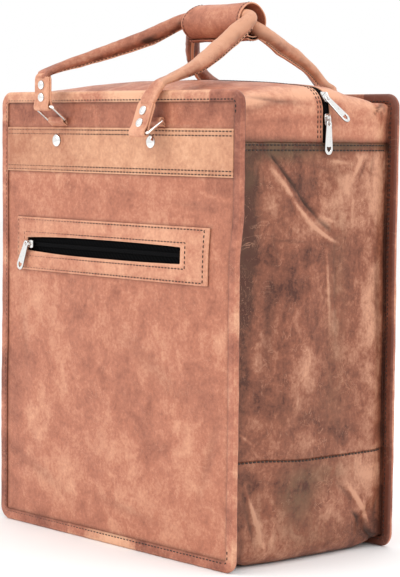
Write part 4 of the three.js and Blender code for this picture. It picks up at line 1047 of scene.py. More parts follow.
@dataclass
class Panels:
    """Front and back panels, their bands, bindings and the welt pocket."""

    finishes: Finishes
    band_low: float = 377.0
    band_high: float = 423.0
    welt: tuple[float, float, float, float] = (-160.0, 148.0, 272.7, 328.5)
    window: tuple[float, float, float, float] = (-143.0, 105.0, 290.6, 309.7)
    thread: Seams = field(default_factory=Seams)

    @staticmethod
    def flat(side: int, face: float) -> Surface:
        """Surface of a sheet on the front (side 1) or the back (side -1) whose outer face is at y."""
        def place(x: Array, z: Array) -> Array:
            """Point of the sheet, with its waves and creases."""
            x, z = np.broadcast_arrays(x, z)
            wave = 0.55 * SOFT(np.stack([x, z, 0 * x + 40.0 * side], axis=-1), 58.0)
            wave = wave + 0.28 * SOFT(np.stack([x, z, 0 * x + 7.0 * side], axis=-1), 23.0)
            wave = wave + 0.12 * SOFT(np.stack([x, z, 0 * x + 3.0 * side], axis=-1), 9.0)
            for fold in FRONT_FOLDS:
                wave = wave - fold.depth(side * x, z)
            edge = np.minimum(Form.seam_half - np.abs(x), np.minimum(z - Form.seam_low, Form.seam_high - z))
            wave = wave * smooth(edge / 22.0)
            points = np.stack([x, face - Form.rise(x, z) - wave, z], axis=-1)
            points[..., :2] *= side
            return Form.settle(points)
        return Surface(place, 0.6, 0.6)

    @staticmethod
    def facing(surface: Surface, side: int) -> Surface:
        """The surface with its outward side set away from the bag."""
        normal = surface.normal(np.array([0.0]), np.array([200.0]))[0]
        surface.sign = surface.sign if normal[1] * side < 0 else -surface.sign
        return surface

    def shades(self, side: int, x: Array, z: Array) -> Marks:
        """Marks of the panel's leather, with painted shade and highlights."""
        tone, olive = patched(x * side, z, FRONT_PATCHES)
        edge = np.minimum(Form.seam_half - np.abs(x), np.minimum(z - Form.seam_low, Form.seam_high - z))
        # Painted shade along the panel's edge at the binding, and painted shadow along both edges of the band.
        dark = 0.45 * bell(np.maximum(edge, 0), 2.2)
        dark = dark + 0.35 * bell(z - self.band_low + 0.8, 1.3)
        dark = dark + 0.3 * bell(z - self.band_high - 0.8, 1.3)
        if side > 0:
            left, right, low, high = self.welt
            outside = np.maximum(np.maximum(left - x, x - right), np.maximum(low - z, z - high))
            # Painted shadow round the welt.
            dark = dark + 0.4 * bell(np.maximum(outside, 0), 1.1)
        tone = tone - 0.12 * smooth((z - self.band_high) / 6.0)
        # Painted shade in the creases, painted highlight on the ridges.
        for fold in FRONT_FOLDS:
            dark = dark + np.clip(0.28 * fold.depth(x * side, z), 0.0, 0.2)
            tone = tone + np.clip(-0.35 * fold.depth(x * side, z), 0.0, 0.2)
        return Marks(tone, olive, dark)

    def build(self) -> None:
        """Makes the panels, bands and bindings of both faces, then the pocket."""
        for side, prefix in ((1, "front"), (-1, "back")):
            self.build_panel(side, prefix)
            self.build_band(side, prefix)
            self.build_binding(side, prefix)
        self.build_pocket()
        self.thread.build("panel_thread", self.finishes.thread, "main_leather")

    def build_panel(self, side: int, prefix: str) -> None:
        """Makes one panel, with the pocket's opening in the front one."""
        half = Form.width / 2 - Form.panel_inset - 1.0
        low, high = Form.panel_inset + 1.0, Form.height - Form.panel_inset - 1.0
        corner = Form.corner - Form.panel_inset - 1.0
        surface = self.facing(self.flat(side, Form.face), side)
        left, right, bottom, top = self.window
        xs = steps(-half, half, 3.0, left, right)
        zs = steps(low, high, 3.0, bottom, top)

        def keep(x: Array, z: Array) -> Array:
            """Whether a place is inside the rounded corners and outside the window."""
            window = (side > 0) & (x > left) & (x < right) & (z > bottom) & (z < top)
            over = np.maximum(np.maximum(low + corner - z, z - high + corner), 0.0)
            return ~window & (np.hypot(np.maximum(np.abs(x) - half + corner, 0.0), over) < corner)

        piece = surface.sheet(f"{prefix}_panel_leather", xs, zs, Form.leather, self.finishes.main,
                              lambda x, z: self.shades(side, x, z), keep)
        fit_piece(piece, "main_leather", f"{prefix}_panel")

    def build_band(self, side: int, prefix: str) -> None:
        """Makes one band with its four rows of stitches."""
        reach = Form.seam_half - Form.gap
        surface = self.facing(self.flat(side, Form.band_face), side)
        rows = (self.band_high - 2.5, self.band_high - 6.7, self.band_low + 5.9, self.band_low + 2.1)

        def shades(x: Array, z: Array) -> Marks:
            """Marks of the band's leather, with painted shade."""
            tone, olive = patched(x * side, z, FRONT_PATCHES[6:])
            # Painted shade in the grooves of the four stitch rows.
            stitch_groove_shade = sum(bell(z - row, 0.7) for row in rows)
            edge = np.minimum(self.band_high - z, z - self.band_low)
            # Painted shade: darker towards the band's left end.
            tone = tone - 0.06 - 0.16 * smooth((60.0 - x * side) / 200.0) + 0.2 * bell(edge, 0.8)
            return Marks(tone, olive, 0.22 * stitch_groove_shade)

        piece = surface.sheet(f"{prefix}_band_leather", steps(-reach, reach, 2.6),
                              steps(self.band_low, self.band_high, 2.6, *rows), Form.leather,
                              self.finishes.light, shades)
        fit_piece(piece, "light_leather", f"{prefix}_band")
        xs = np.arange(-reach + 1.0, reach - 0.5, 1.0)
        for row in rows:
            self.thread.on(surface, xs, np.full(xs.shape, row))

    def build_binding(self, side: int, prefix: str) -> None:
        """Makes one folded edge strip round a face, with its row of stitches."""
        half, slot_half, soft = Form.binding_thick / 2, Form.slot / 2, Form.binding_wall / 2
        profile = [(Form.binding, -slot_half), (Form.binding, -half + soft),
                   (Form.binding - soft * 0.5, -half + 0.15), (Form.binding - soft, -half),
                   (Form.binding - 2.3, -half), (Form.binding - 4.4, -half - 0.15), (6.0, -half - 0.1)]
        profile += [(half - half * math.cos(math.radians(t)), half * math.sin(math.radians(t)))
                    for t in np.linspace(-90, 90, 13)]
        profile += [(6.0, half + 0.1), (Form.binding_rear - soft, half), (Form.binding_rear, half - soft),
                    (Form.binding_rear, slot_half), (Form.binding_wall + 0.15, slot_half),
                    (Form.binding_wall + 0.15, -slot_half)]
        insets = np.array([p[0] for p in profile])
        outs = np.array([p[1] for p in profile])
        centre, outward = self.outline(2.2)
        length = lengths_along(centre)
        ruffle = SOFT(np.stack([length, 0 * length + 17.0 * side, 0 * length], axis=-1), 7.0)
        ruffle = ruffle + 0.8 * SOFT(np.stack([length, 0 * length + 5.0 * side, 0 * length], axis=-1), 17.0)
        points = []
        for inset, out in zip(insets, outs):
            shrink = self.inset_outline(centre, outward, inset)
            bulge = 0.22 * ruffle * np.clip((Form.binding - inset) / 5.0, 0.0, 1.0)
            ring = np.stack([shrink[:, 0], np.full(len(shrink), out - Form.depth / 2), shrink[:, 1]], axis=-1)
            ring[:, 1] += bulge * np.sign(out)
            ring[:, 0] += outward[:, 0] * np.abs(bulge) * 0.6
            points.append(ring)
        grid = np.stack(points, axis=1)
        grid[..., :2] *= side
        grid = Form.settle(grid)
        rows, columns = grid.shape[:2]
        x, z = centre[:, 0] * side, centre[:, 1]
        tone = 0.5 + 0.14 * MOTTLE(np.stack([x, z, 0 * x], axis=-1), 24.0)
        joined = (z > 430) & (x < 145) | (z < 30) & (x > -70) & (x < 40)
        tone = tone + 0.25 * joined - 0.08 - 0.12 * ((z > 430) & (x >= 145))
        # Painted shade on the binding's inner face towards the gusset, and painted highlight along its rounded
        # outer edge.
        inside = (outs > half * 0.4) & (insets > 0.2)
        edge_highlight = (insets < 2.5) & ~inside
        tone = np.repeat(tone[:, None], columns, axis=1) + (0.07 * edge_highlight - 0.22 * inside)[None, :]
        dark = np.repeat((0.3 * (np.abs(insets - 10.6) < 1.0) + 0.45 * inside)[None, :], rows, axis=0)
        marks = Marks(tone, 0 * tone, dark)
        piece = lofted(f"{prefix}_binding_leather", grid, self.finishes.edge, True, marks)
        fit_piece(piece, "edge_leather", f"{prefix}_binding")
        row = self.inset_outline(centre, outward, Form.binding - 2.3)
        path = np.stack([row[:, 0] * side, np.full(len(row), side * (-half - Form.depth / 2)), row[:, 1]], axis=-1)
        path = Form.settle(path)
        upright = (side * path[:, 0] > 172.0) & (path[:, 2] > 25.0) & (path[:, 2] < 435.0)
        for group in np.split(np.arange(len(path)), np.flatnonzero(np.diff(upright.astype(int))) + 1):
            if not upright[group[0]]:
                self.thread.along(path[group], np.tile([0.0, -float(side), 0.0], (len(group), 1)))
        row = self.inset_outline(centre, outward, Form.binding_rear - 2.4)
        path = np.stack([row[:, 0] * side, np.full(len(row), side * (half - Form.depth / 2)), row[:, 1]], axis=-1)
        self.thread.along(Form.settle(path), np.tile([0.0, float(side), 0.0], (len(path), 1)))

    @staticmethod
    def outline(step: float) -> tuple[Array, Array]:
        """Closed outer outline with outward directions, in x and z."""
        half, radius = Form.width / 2, Form.corner
        corners = ((half - radius, radius, -90), (half - radius, Form.height - radius, 0),
                   (radius - half, Form.height - radius, 90), (radius - half, radius, 180))
        points, outward = [], []
        for (x, z, start), (nx, nz, _) in zip(corners, (*corners[1:], corners[0])):
            for turn in np.linspace(0, 90, 9):
                angle = math.radians(start + turn)
                points.append((x + radius * math.cos(angle), z + radius * math.sin(angle)))
                outward.append((math.cos(angle), math.sin(angle)))
            last = outward[-1]
            run = math.hypot(nx - x, nz - z)
            for share in np.linspace(0, 1, int(run / step))[1:-1]:
                points.append((mix(x, nx, share) + radius * last[0], mix(z, nz, share) + radius * last[1]))
                outward.append(last)
        return np.array(points), np.array(outward)

    @staticmethod
    def inset_outline(centre: Array, outward: Array, inset: float) -> Array:
        """The outline moved inwards, its corners kept round."""
        moved = centre - outward * min(inset, Form.corner - 0.5)
        extra = inset - min(inset, Form.corner - 0.5)
        return moved - np.sign(outward) * extra

    def build_pocket(self) -> None:
        """Makes the welt round the zip's window."""
        left, right, low, high = self.welt
        in_left, in_right, in_low, in_high = self.window
        surface = self.facing(self.flat(1, Form.band_face), 1)
        outer = self.loop(left, right, low, high, 1.5, 0.0)
        inner = self.loop(in_left, in_right, in_low, in_high, 1.6, 1.0)
        shares = np.array([0.0, 0.03, 0.08, 0.16, 0.3, 0.45, 0.6, 0.75, 0.86, 0.94, 0.98, 1.0])
        x = mix(outer[:, 0][:, None], inner[:, 0][:, None], shares[None, :])
        z = mix(outer[:, 1][:, None], inner[:, 1][:, None], shares[None, :])
        drop = np.where(shares > 0.97, 1.1, np.where(shares > 0.93, 0.35, np.where(shares < 0.01, 0.35, 0.0)))
        front = surface.at(x, z, np.broadcast_to(-drop, x.shape))
        rear = surface.at(x, z, np.full(x.shape, -Form.leather))
        tone, olive = patched(x, z, FRONT_PATCHES)
        # Painted highlight on the window's folded lip and along the welt's outer edge.
        rim = bell(1 - shares, 0.08) + 0.6 * bell(shares, 0.03)
        tone = tone + 0.16 + 0.2 * np.broadcast_to(rim, x.shape)
        # Painted shade in the groove of the outer stitch row.
        dark = np.broadcast_to(0.1 * bell(shares - 0.16, 0.05), x.shape)
        marks = Marks(*(np.concatenate([part, part[:, ::-1]], axis=1) for part in (tone, olive, dark)))
        grid = np.concatenate([front, rear[:, ::-1]], axis=1)
        piece = lofted("pocket_welt_leather", grid, self.finishes.main, True, marks)
        fit_piece(piece, "main_leather", "pocket_welt")
        for bounds, bow in (((left + 2.4, right - 7.5, low + 2.4, high - 2.4), 0.0),
                            ((in_left - 4.0, in_right + 8.0, in_low - 3.2, in_high + 3.2), 0.0)):
            path = self.loop(*bounds, 1.2, bow)
            path = np.concatenate([path, path[:1]])
            self.thread.on(surface, path[:, 0], path[:, 1])

    @staticmethod
    def loop(left: float, right: float, low: float, high: float, radius: float, bow: float) -> Array:
        """Closed loop of points round a box, evenly matched between loops.

        Args:
            left: Left end.
            right: Right end.
            low: Bottom.
            high: Top.
            radius: Corner radius.
            bow: How much narrower the ends are.

        Returns:
            Points in x and z.
        """
        corners = ((right, low, -90), (right, high, 0), (left, high, 90), (left, low, 180))
        points = []
        for index, (x, z, start) in enumerate(corners):
            cx = x - math.copysign(radius, x - (left + right) / 2)
            cz = z - math.copysign(radius, z - (low + high) / 2)
            for turn in np.linspace(0, 90, 7):
                angle = math.radians(start + turn)
                points.append((cx + radius * math.cos(angle), cz + radius * math.sin(angle)))
            nx, nz, _ = corners[(index + 1) % 4]
            count = 100 if index in (1, 3) else 16
            last = points[-1]
            follow = (nx + math.copysign(radius, (left + right) / 2 - nx), last[1]) if index in (1, 3) else (
                last[0], nz + math.copysign(radius, (low + high) / 2 - nz))
            for share in np.linspace(0, 1, count + 2)[1:-1]:
                points.append((mix(last[0], follow[0], share), mix(last[1], follow[1], share)))
        path = np.array(points)
        if bow:
            share = (path[:, 0] - (left + right) / 2) / ((right - left) / 2)
            narrow = 1.0 - bow * np.where(share < 0, 0.3, 0.14) * np.abs(share) ** 2.5
            path[:, 1] = (low + high) / 2 + (path[:, 1] - (low + high) / 2) * narrow
        return path


def tube(name: str, path: Array, radius: Union[float, Array], sides: int, finish: Material,
         flat_normal: Array | None = None, closed: bool = False) -> Piece:
    """Makes a round wire along a path that lies in a plane.

    Args:
        name: Name of the piece.
        path: Its middle line.
        radius: Its radius, one or one for each point.
        sides: Sides of its section.
        finish: Its material.
        flat_normal: Direction square to the path's plane.
        closed: Whether the path is a loop.

    Returns:
        The object.
    """
    ahead = np.roll(path, -1, axis=0) - np.roll(path, 1, axis=0)
    if not closed:
        ahead[0], ahead[-1] = path[1] - path[0], path[-1] - path[-2]
    ahead = unit(ahead)
    square = np.broadcast_to(UP if flat_normal is None else flat_normal, path.shape)
    beside = unit(np.cross(ahead, square))
    over = np.cross(beside, ahead)
    turns = np.linspace(0, 2 * math.pi, sides, endpoint=False)
    wide = np.broadcast_to(np.asarray(radius, float), (len(path),))[:, None, None]
    ring = beside[:, None] * np.cos(turns)[None, :, None] + over[:, None] * np.sin(turns)[None, :, None]
    # Painted shade: the wire's underside is marked dark, which the metal turns near black.
    dark = 0.85 * smooth((-ring[..., 2] - 0.45) / 0.5)
    return lofted(name, path[:, None] + ring * wide, finish, closed, Marks(dark * 0, dark * 0, dark))


def lofted(name: str, grid: Array, finish: Material, closed: bool = False,
           marks: Marks | None = None) -> Piece:
    """Makes a closed mesh through rings of points, with capped ends unless it is a loop.

    Args:
        name: Name of the piece.
        grid: Rings by points by three numbers.
        finish: Its material.
        closed: Whether the last ring joins the first.
        marks: Shades of its points.

    Returns:
        The object.
    """
    rows, columns = grid.shape[:2]
    number = np.arange(rows * columns).reshape(rows, columns)
    beside = np.roll(number, -1, axis=1)
    ahead = np.roll(number, -1, axis=0)
    both = np.roll(beside, -1, axis=0)
    quads = np.stack([number, beside, both, ahead], axis=-1)
    quads = (quads if closed else quads[:-1]).reshape(-1, 4)
    points = grid.reshape(-1, 3)
    centre = points.mean(axis=0)
    outward = volume(points - centre, quads) > 0
    faces = quads.tolist() if outward else quads[:, ::-1].tolist()
    if not closed:
        caps = [number[0, ::-1].tolist(), number[-1].tolist()]
        faces += caps if outward else [cap[::-1] for cap in caps]
    return new_object(name, points, faces, finish, marks)


def revolved(name: str, profile: Sequence[tuple[float, float]], basis: Matrix, finish: Material,
             sides: int = 24) -> Piece:
    """Makes a turned piece about the local Z axis.

    Args:
        name: Name of the piece.
        profile: Radius and height of each ring.
        basis: Where the piece goes, in millimetres.
        finish: Its material.
        sides: Sides round the axis.

    Returns:
        The object.
    """
    turns = np.linspace(0, 2 * math.pi, sides, endpoint=False)
    rings = [np.stack([r * np.cos(turns), r * np.sin(turns), np.full(sides, h)], axis=-1) for r, h in profile]
    grid = np.stack(rings)
    turned = np.array(basis)
    grid = grid @ turned[:3, :3].T + turned[:3, 3]
    # Painted shade on the rim and shank under the rivet's dome.
    rim = np.array([0.7 * (h < 0.3) for _, h in profile])[:, None] * np.ones(sides)
    return lofted(name, grid, finish, marks=Marks(0 * rim, 0 * rim, rim))


def plate(name: str, loops: Sequence[Sequence[tuple[float, float]]], thick: float, bevel: float, basis: Matrix,
          finish: Material) -> Piece:
    """Makes a flat plate with rounded edges and holes.

    Args:
        name: Name of the piece.
        loops: Outline, then its holes, in the local X and Y.
        thick: Thickness along the local Z.
        bevel: Radius of its edges.
        basis: Where it goes, in millimetres.
        finish: Its material.

    Returns:
        The object.
    """
    curve = bpy.data.curves.new(name + "_outline", "CURVE")
    curve.dimensions = "2D"
    curve.fill_mode = "BOTH"
    curve.extrude = thick / 2 - bevel
    curve.bevel_depth = bevel
    curve.bevel_resolution = 2
    curve.offset = -bevel
    for loop in loops:
        spline = curve.splines.new("POLY")
        spline.points.add(len(loop) - 1)
        for point, (x, y) in zip(spline.points, loop):
            point.co = (x, y, 0.0, 1.0)
        spline.use_cyclic_u = True
    helper = bpy.data.objects.new(name + "_outline", curve)
    bpy.context.collection.objects.link(helper)
    graph = bpy.context.evaluated_depsgraph_get()
    mesh = bpy.data.meshes.new_from_object(helper.evaluated_get(graph))
    bpy.data.objects.remove(helper)
    bpy.data.curves.remove(curve)
    heights = np.array([vertex.co.z for vertex in mesh.vertices])
    # Painted shade on the plate's edge walls, marked dark.
    rim = 0.8 * smooth((thick / 2 - np.abs(heights)) / (bevel * 0.7))
    layer = mesh.color_attributes.new("marks", "FLOAT_COLOR", "POINT")
    layer.data.foreach_set("color", Marks(0 * rim, 0 * rim, rim).colours().astype(np.float32).ravel())
    mesh.transform(Matrix.Scale(MM, 4) @ basis)
    mesh.materials.clear()
    mesh.materials.append(finish)
    mesh.polygons.foreach_set("use_smooth", np.ones(len(mesh.polygons), dtype=bool))
    mesh.set_sharp_from_angle(angle=math.radians(50))
    mesh.name = name
    piece = bpy.data.objects.new(name, mesh)
    bpy.context.collection.objects.link(piece)
    return piece


def arc(x: float, y: float, radius: float, start: float, end: float, count: int) -> list[tuple[float, float]]:
    """Points along an arc, angles in degrees."""
    return [(x + radius * math.cos(math.radians(a)), y + radius * math.sin(math.radians(a)))
            for a in np.linspace(start, end, count)]


def rounded(outline: Sequence[tuple[float, float]], radius: float, count: int = 5) -> list[tuple[float, float]]:
    """An outline with its corners rounded."""
    places = [np.array(p, float) for p in outline]
    result = []
    for index, corner in enumerate(places):
        before, after = places[index - 1], places[(index + 1) % len(places)]
        reach = min(radius, np.linalg.norm(before - corner) * 0.45, np.linalg.norm(after - corner) * 0.45)
        start = corner + unit(before - corner) * reach
        end = corner + unit(after - corner) * reach
        for t in np.linspace(0, 1, count):
            spot = (1 - t) ** 2 * start + 2 * t * (1 - t) * corner + t * t * end
            result.append((float(spot[0]), float(spot[1])))
    return result


def frame_at(origin: Array, x_axis: Array, y_axis: Array) -> Matrix:
    """Matrix with an origin and two directions; the third is square to them."""
    x_axis = unit(np.asarray(x_axis, float))
    z_axis = unit(np.cross(x_axis, np.asarray(y_axis, float)))
    y_axis = np.cross(z_axis, x_axis)
    made = Matrix.Identity(4)
    for column, axis in enumerate((x_axis, y_axis, z_axis, origin)):
        for row in range(3):
            made[row][column] = float(axis[row])
    return made


class Ribbon:
    """A leather strap swept along a path in a plane, with rounded raw edges."""

    def __init__(self, path: Sequence[tuple[float, float]], thick: float, wide: float) -> None:
        """Keeps the strap's sizes.

        Args:
            path: Middle line in two directions.
            thick: Thickness.
            wide: Width.
        """
        self.path = self.resampled(np.array(path, float))
        self.thick = thick
        self.wide = wide

    @staticmethod
    def resampled(path: Array, step: float = 0.8) -> Array:
        """The path with even, close points, its corners softened."""
        for _ in range(2):
            cuts = [mix(path[:-1], path[1:], share) for share in (0.25, 0.75)]
            path = np.concatenate([path[:1], np.stack(cuts, axis=1).reshape(-1, 2), path[-1:]])
        length = lengths_along(path)
        places = np.linspace(0, length[-1], max(4, int(length[-1] / step)))
        return np.stack([np.interp(places, length, path[:, k]) for k in range(2)], axis=-1)

    def build(self, name: str, origin: Array, first: Array, second: Array, across: Array,
              finish: Material, seed: float, tone: float = 0.5, corner: float = 0.0) -> Piece:
        """Makes the strap.

        Args:
            name: Name of the piece.
            origin: Where the path's zero is.
            first: Direction of the path's first number.
            second: Direction of the path's second number.
            across: Direction of the width.
            finish: Its material.
            seed: Changes the noise.
            tone: Its leather's tone.
            corner: Radius of the strap's end corners.

        Returns:
            The object.
        """
        path = self.path
        ahead = np.gradient(path, axis=0)
        ahead = ahead / np.linalg.norm(ahead, axis=1, keepdims=True)
        left = np.stack([-ahead[:, 1], ahead[:, 0]], axis=-1)
        half, wide = self.thick / 2, self.wide / 2
        soft = min(0.45, half * 0.6)
        profile = [(-wide, 0.0), (-wide + soft * 0.3, half - soft), (-wide + soft, half)]
        profile += [(x, half) for x in np.linspace(-wide, wide, 11)[1:-1]]
        profile += [(wide - soft, half), (wide - soft * 0.3, half - soft), (wide, 0.0)]
        section = np.array(profile + [(x, -h) for x, h in reversed(profile[1:-1])])
        spots = path[:, None] + left[:, None] * section[None, :, 1:2]
        count = np.arange(len(path)) * float(np.linalg.norm(path[1] - path[0]))
        short = np.clip(1.0 - np.minimum(count, count[-1] - count) / max(corner, 0.1), 0.0, 1.0)
        narrow = 1.0 - corner / wide * (1.0 - np.sqrt(1.0 - short**2))
        grid = origin + spots[..., 0:1] * first + spots[..., 1:2] * second
        grid = grid + (section[None, :, 0] * narrow[:, None])[..., None] * across
        inside = (wide - np.abs(section[:, 0])) / 3.0
        ripple = 0.22 * SOFT(grid + seed, 9.0) + 0.15 * SOFT(grid + seed, 4.0)
        square = (left[:, 0:1] * first + left[:, 1:2] * second)[:, None]
        grid = grid + square * (ripple * np.clip(inside, 0.3, 1))[..., None]
        raw = np.broadcast_to((np.abs(section[:, 0]) > wide - soft * 0.6), grid.shape[:2])
        shade = tone + 0.22 * MOTTLE(grid + seed, 12.0) + 0.4 * raw
        marks = Marks(shade, 0 * shade, 0 * shade)
        return lofted(name, grid, finish, marks=marks)


@dataclass(frozen=True)
class Slider:
    """Where a zip slider is, and how its pull hangs.

    Attributes:
        name: Name of its zip.
        origin: Middle of the slider on top of the chain.
        along, outward: Directions along the zip and out of it.
        foot: Height of its shield's underside.
        swing: Degrees that the pull is turned from hanging back along the zip.
    """

    name: str
    origin: tuple[float, float, float]
    along: tuple[float, float, float]
    outward: tuple[float, float, float]
    foot: float
    swing: float

    leg = 3.85

    def at(self, along: float, out: float) -> Array:
        """Point along the zip from the middle and above the chain."""
        return np.array(self.origin) + np.array(self.along) * along + np.array(self.outward) * out


SLIDERS = (
    Slider("lower_zip", (180.796, 12, 432.7), (-0.0026, 0, 1), (1, 0, 0.0026), 0.61, 0),
    Slider("upper_zip", (177.267, 12, 454.055), (-0.54624, 0, 0.83763), (0.83763, 0, 0.54624), 0.6, 32),
    Slider("pocket_zip", (-135, -107.871, 300.15), (1, 0, 0), (0, -1, 0), 1.6, 66),
)


@dataclass
class Zips:
    """Main zip over the top, the pocket's zip, their sliders and pulls."""

    finishes: Finishes
    tape_wide: float = 28.0
    tape_thick: float = 0.9
    chain_wide: float = 5.0
    chain_high: float = 1.8
    tuck: float = 8.0
    tooth_pitch: float = 1.9
    tooth_step: float = 0.42
    pull_long: float = 30.0
    pull_thick: float = 1.2
    slider_plate: float = 1.6
    bridge_high: float = 4.2

    def build(self) -> None:
        """Makes both zips and three sliders with pulls."""
        self.build_main()
        self.build_pocket()
        for slider in SLIDERS:
            self.build_slider(slider)
            self.build_pull(slider)

    def rows(self, run: Run) -> tuple[Array, Array]:
        """Station number against length along the zip's middle."""
        index = np.linspace(0, run.count - 1.0, run.count * 4)
        path = run.bare(index, np.full(index.shape, Form.zip_centre))
        length = lengths_along(path)
        return index, length

    def build_main(self) -> None:
        """Makes the tape and the chain of the main zip."""
        run = Run.over(Form.upper_seam - self.tuck)
        under = -Form.leather - Form.gap
        half = self.tape_wide / 2
        middle = Form.zip_centre
        lines = steps(middle - half, middle + half, 3.0)
        tape = run.surface.sheet("main_zip_tape_weave", np.arange(run.count, dtype=float), lines, self.tape_thick,
                                 self.finishes.tape, soft=0.1, lift=under)
        fit_piece(tape, "zip_tape", "main_zip_tape")
        index, length = self.rows(run)
        spots = np.arange(0.0, length[-1], self.tooth_step)
        along = np.interp(spots, length, index)
        teeth = self.teeth(run.surface, under, index, length, middle)
        chain = teeth.sheet("main_zip_chain_teeth", along, middle + self.across(), self.chain_high + 0.6,
                            self.finishes.teeth, soft=0.2)
        fit_piece(chain, "zip_chain", "main_zip_chain")

    def across(self) -> Array:
        """Lines across a chain."""
        half = self.chain_wide / 2
        return np.array([-half, -half + 0.5, -half + 1.3, -0.35, 0.0, 0.35, half - 1.3, half - 0.5, half])

    def teeth(self, surface: Surface, under: float, index: Array, length: Array, middle: float) -> Surface:
        """Surface of coil teeth on a tape.

        Args:
            surface: Leather surface over the tape.
            under: Height of the tape's face.
            index: Stations that lengths are known for.
            length: Those lengths.
            middle: Middle of the chain across.

        Returns:
            The teeth's surface.
        """
        def place(along: Array, across: Array) -> Array:
            """Point of the coil."""
            along, across = np.broadcast_arrays(along, across)
            spot = np.interp(along, index, length)
            off = across - middle
            phase = math.pi * spot / self.tooth_pitch + np.where(off > 0, math.pi / 2, 0.0)
            lobe = np.abs(np.cos(phase)) ** 0.6
            round_off = np.clip(1.0 - np.abs(np.abs(off) / (self.chain_wide / 2) - 0.45) / 0.6, 0.0, 1.0) ** 0.5
            height = under + 0.25 + self.chain_high * (0.45 + 0.45 * lobe) * round_off
            return surface.at(along, across, height)

        made = Surface(place, 0.2, 0.2)
        made.sign = surface.sign
        return made

    def build_pocket(self) -> None:
        """Makes the tape and the chain of the pocket's zip."""
        left, right, low, high = Panels.window
        middle, margin = (low + high) / 2, self.tuck
        face = Form.back + Form.gap
        surface = Panels.facing(Panels.flat(1, face), 1)
        tape = surface.sheet("pocket_zip_tape_weave", steps(left - margin, right + margin, 4.0),
                             steps(low - margin, high + margin, 3.0), self.tape_thick,
                             self.finishes.tape, soft=0.1)
        fit_piece(tape, "zip_tape", "pocket_zip_tape")
        spots = np.arange(left + 0.4, right - 0.3, self.tooth_step)
        teeth = self.teeth(surface, 0.0, np.array([left, right]), np.array([0.0, right - left]), middle)
        chain = teeth.sheet("pocket_zip_chain_teeth", spots, middle + self.across(), self.chain_high,
                            self.finishes.teeth, soft=0.2)
        fit_piece(chain, "zip_chain", "pocket_zip_chain")

    def build_slider(self, slider: Slider) -> None:
        """Makes a slider's shield, its foot over the teeth and its round bridge."""
        across = np.cross(slider.along, slider.outward)
        plate_top = slider.foot + self.slider_plate
        shield = rounded([(-4.3, 3.4), (-3.4, 6.0), (3.4, 6.0), (4.3, 3.4), (3.7, -0.5), (2.9, -6.0), (-2.9, -6.0),
                          (-3.7, -0.5)], 2.2)
        foot = rounded([(-2.8, 4.8), (2.8, 4.8), (2.4, -4.8), (-2.4, -4.8)], 0.8)
        for part, outline, low, high in (("shield", shield, slider.foot, plate_top),
                                         ("foot", foot, Form.gap, slider.foot + 0.5)):
            basis = frame_at(slider.at(0.0, (low + high) / 2), across, slider.along)
            piece = plate(f"{slider.name}_slider_{part}", [outline], high - low, 0.3, basis, self.finishes.nickel)
            fit_piece(piece, "nickel", f"{slider.name}_slider")
        turns = np.radians(np.linspace(0, 180, 25))
        reach, high = slider.leg, self.bridge_high
        arch = [(-reach * math.copysign(abs(math.cos(t)) ** 0.55, math.cos(t)),
                 plate_top - 0.4 + high * math.sin(t) ** 0.7) for t in turns]
        line = np.array([slider.at(y, z) for y, z in arch])
        bridge = tube(f"{slider.name}_slider_bridge", line, 0.62, 10, self.finishes.nickel, across)
        fit_piece(bridge, "nickel", f"{slider.name}_slider")

    def build_pull(self, slider: Slider) -> None:
        """Makes one pull: a tapered plate with an eye and a slot."""
        turn = math.radians(slider.swing)
        across = np.cross(slider.along, slider.outward)
        upward = np.array(slider.along) * math.cos(turn) - across * math.sin(turn)
        origin = slider.at(-slider.leg, slider.foot + self.slider_plate - 0.15 + 1.8)
        basis = frame_at(origin, np.cross(upward, slider.outward), upward)
        top, end, long = 3.7, 5.4, self.pull_long
        foot = rounded([(-end * 0.93, 9.0 - long), (-end, 4.2 - long), (-end * 0.5, -long), (end * 0.5, -long),
                        (end, 4.2 - long), (end * 0.93, 9.0 - long)], 3.0)
        outline = arc(0, 0, top, -14, 194, 19) + foot[4:-4]
        eye = arc(0, 0, 1.6, 0, 360, 17)[:-1]
        slot = rounded([(-2.9, 8.0 - long), (0.0, 7.3 - long), (2.9, 8.0 - long), (2.4, 4.8 - long),
                        (0.0, 2.3 - long), (-2.4, 4.8 - long)], 0.9)
        pull = plate(f"{slider.name}_pull_plate", [outline, eye[::-1], slot[::-1]], self.pull_thick, 0.35, basis,
                     self.finishes.nickel)
        fit_piece(pull, "nickel", f"{slider.name}_pull", body=slider.name.replace("_zip", "_pull"))


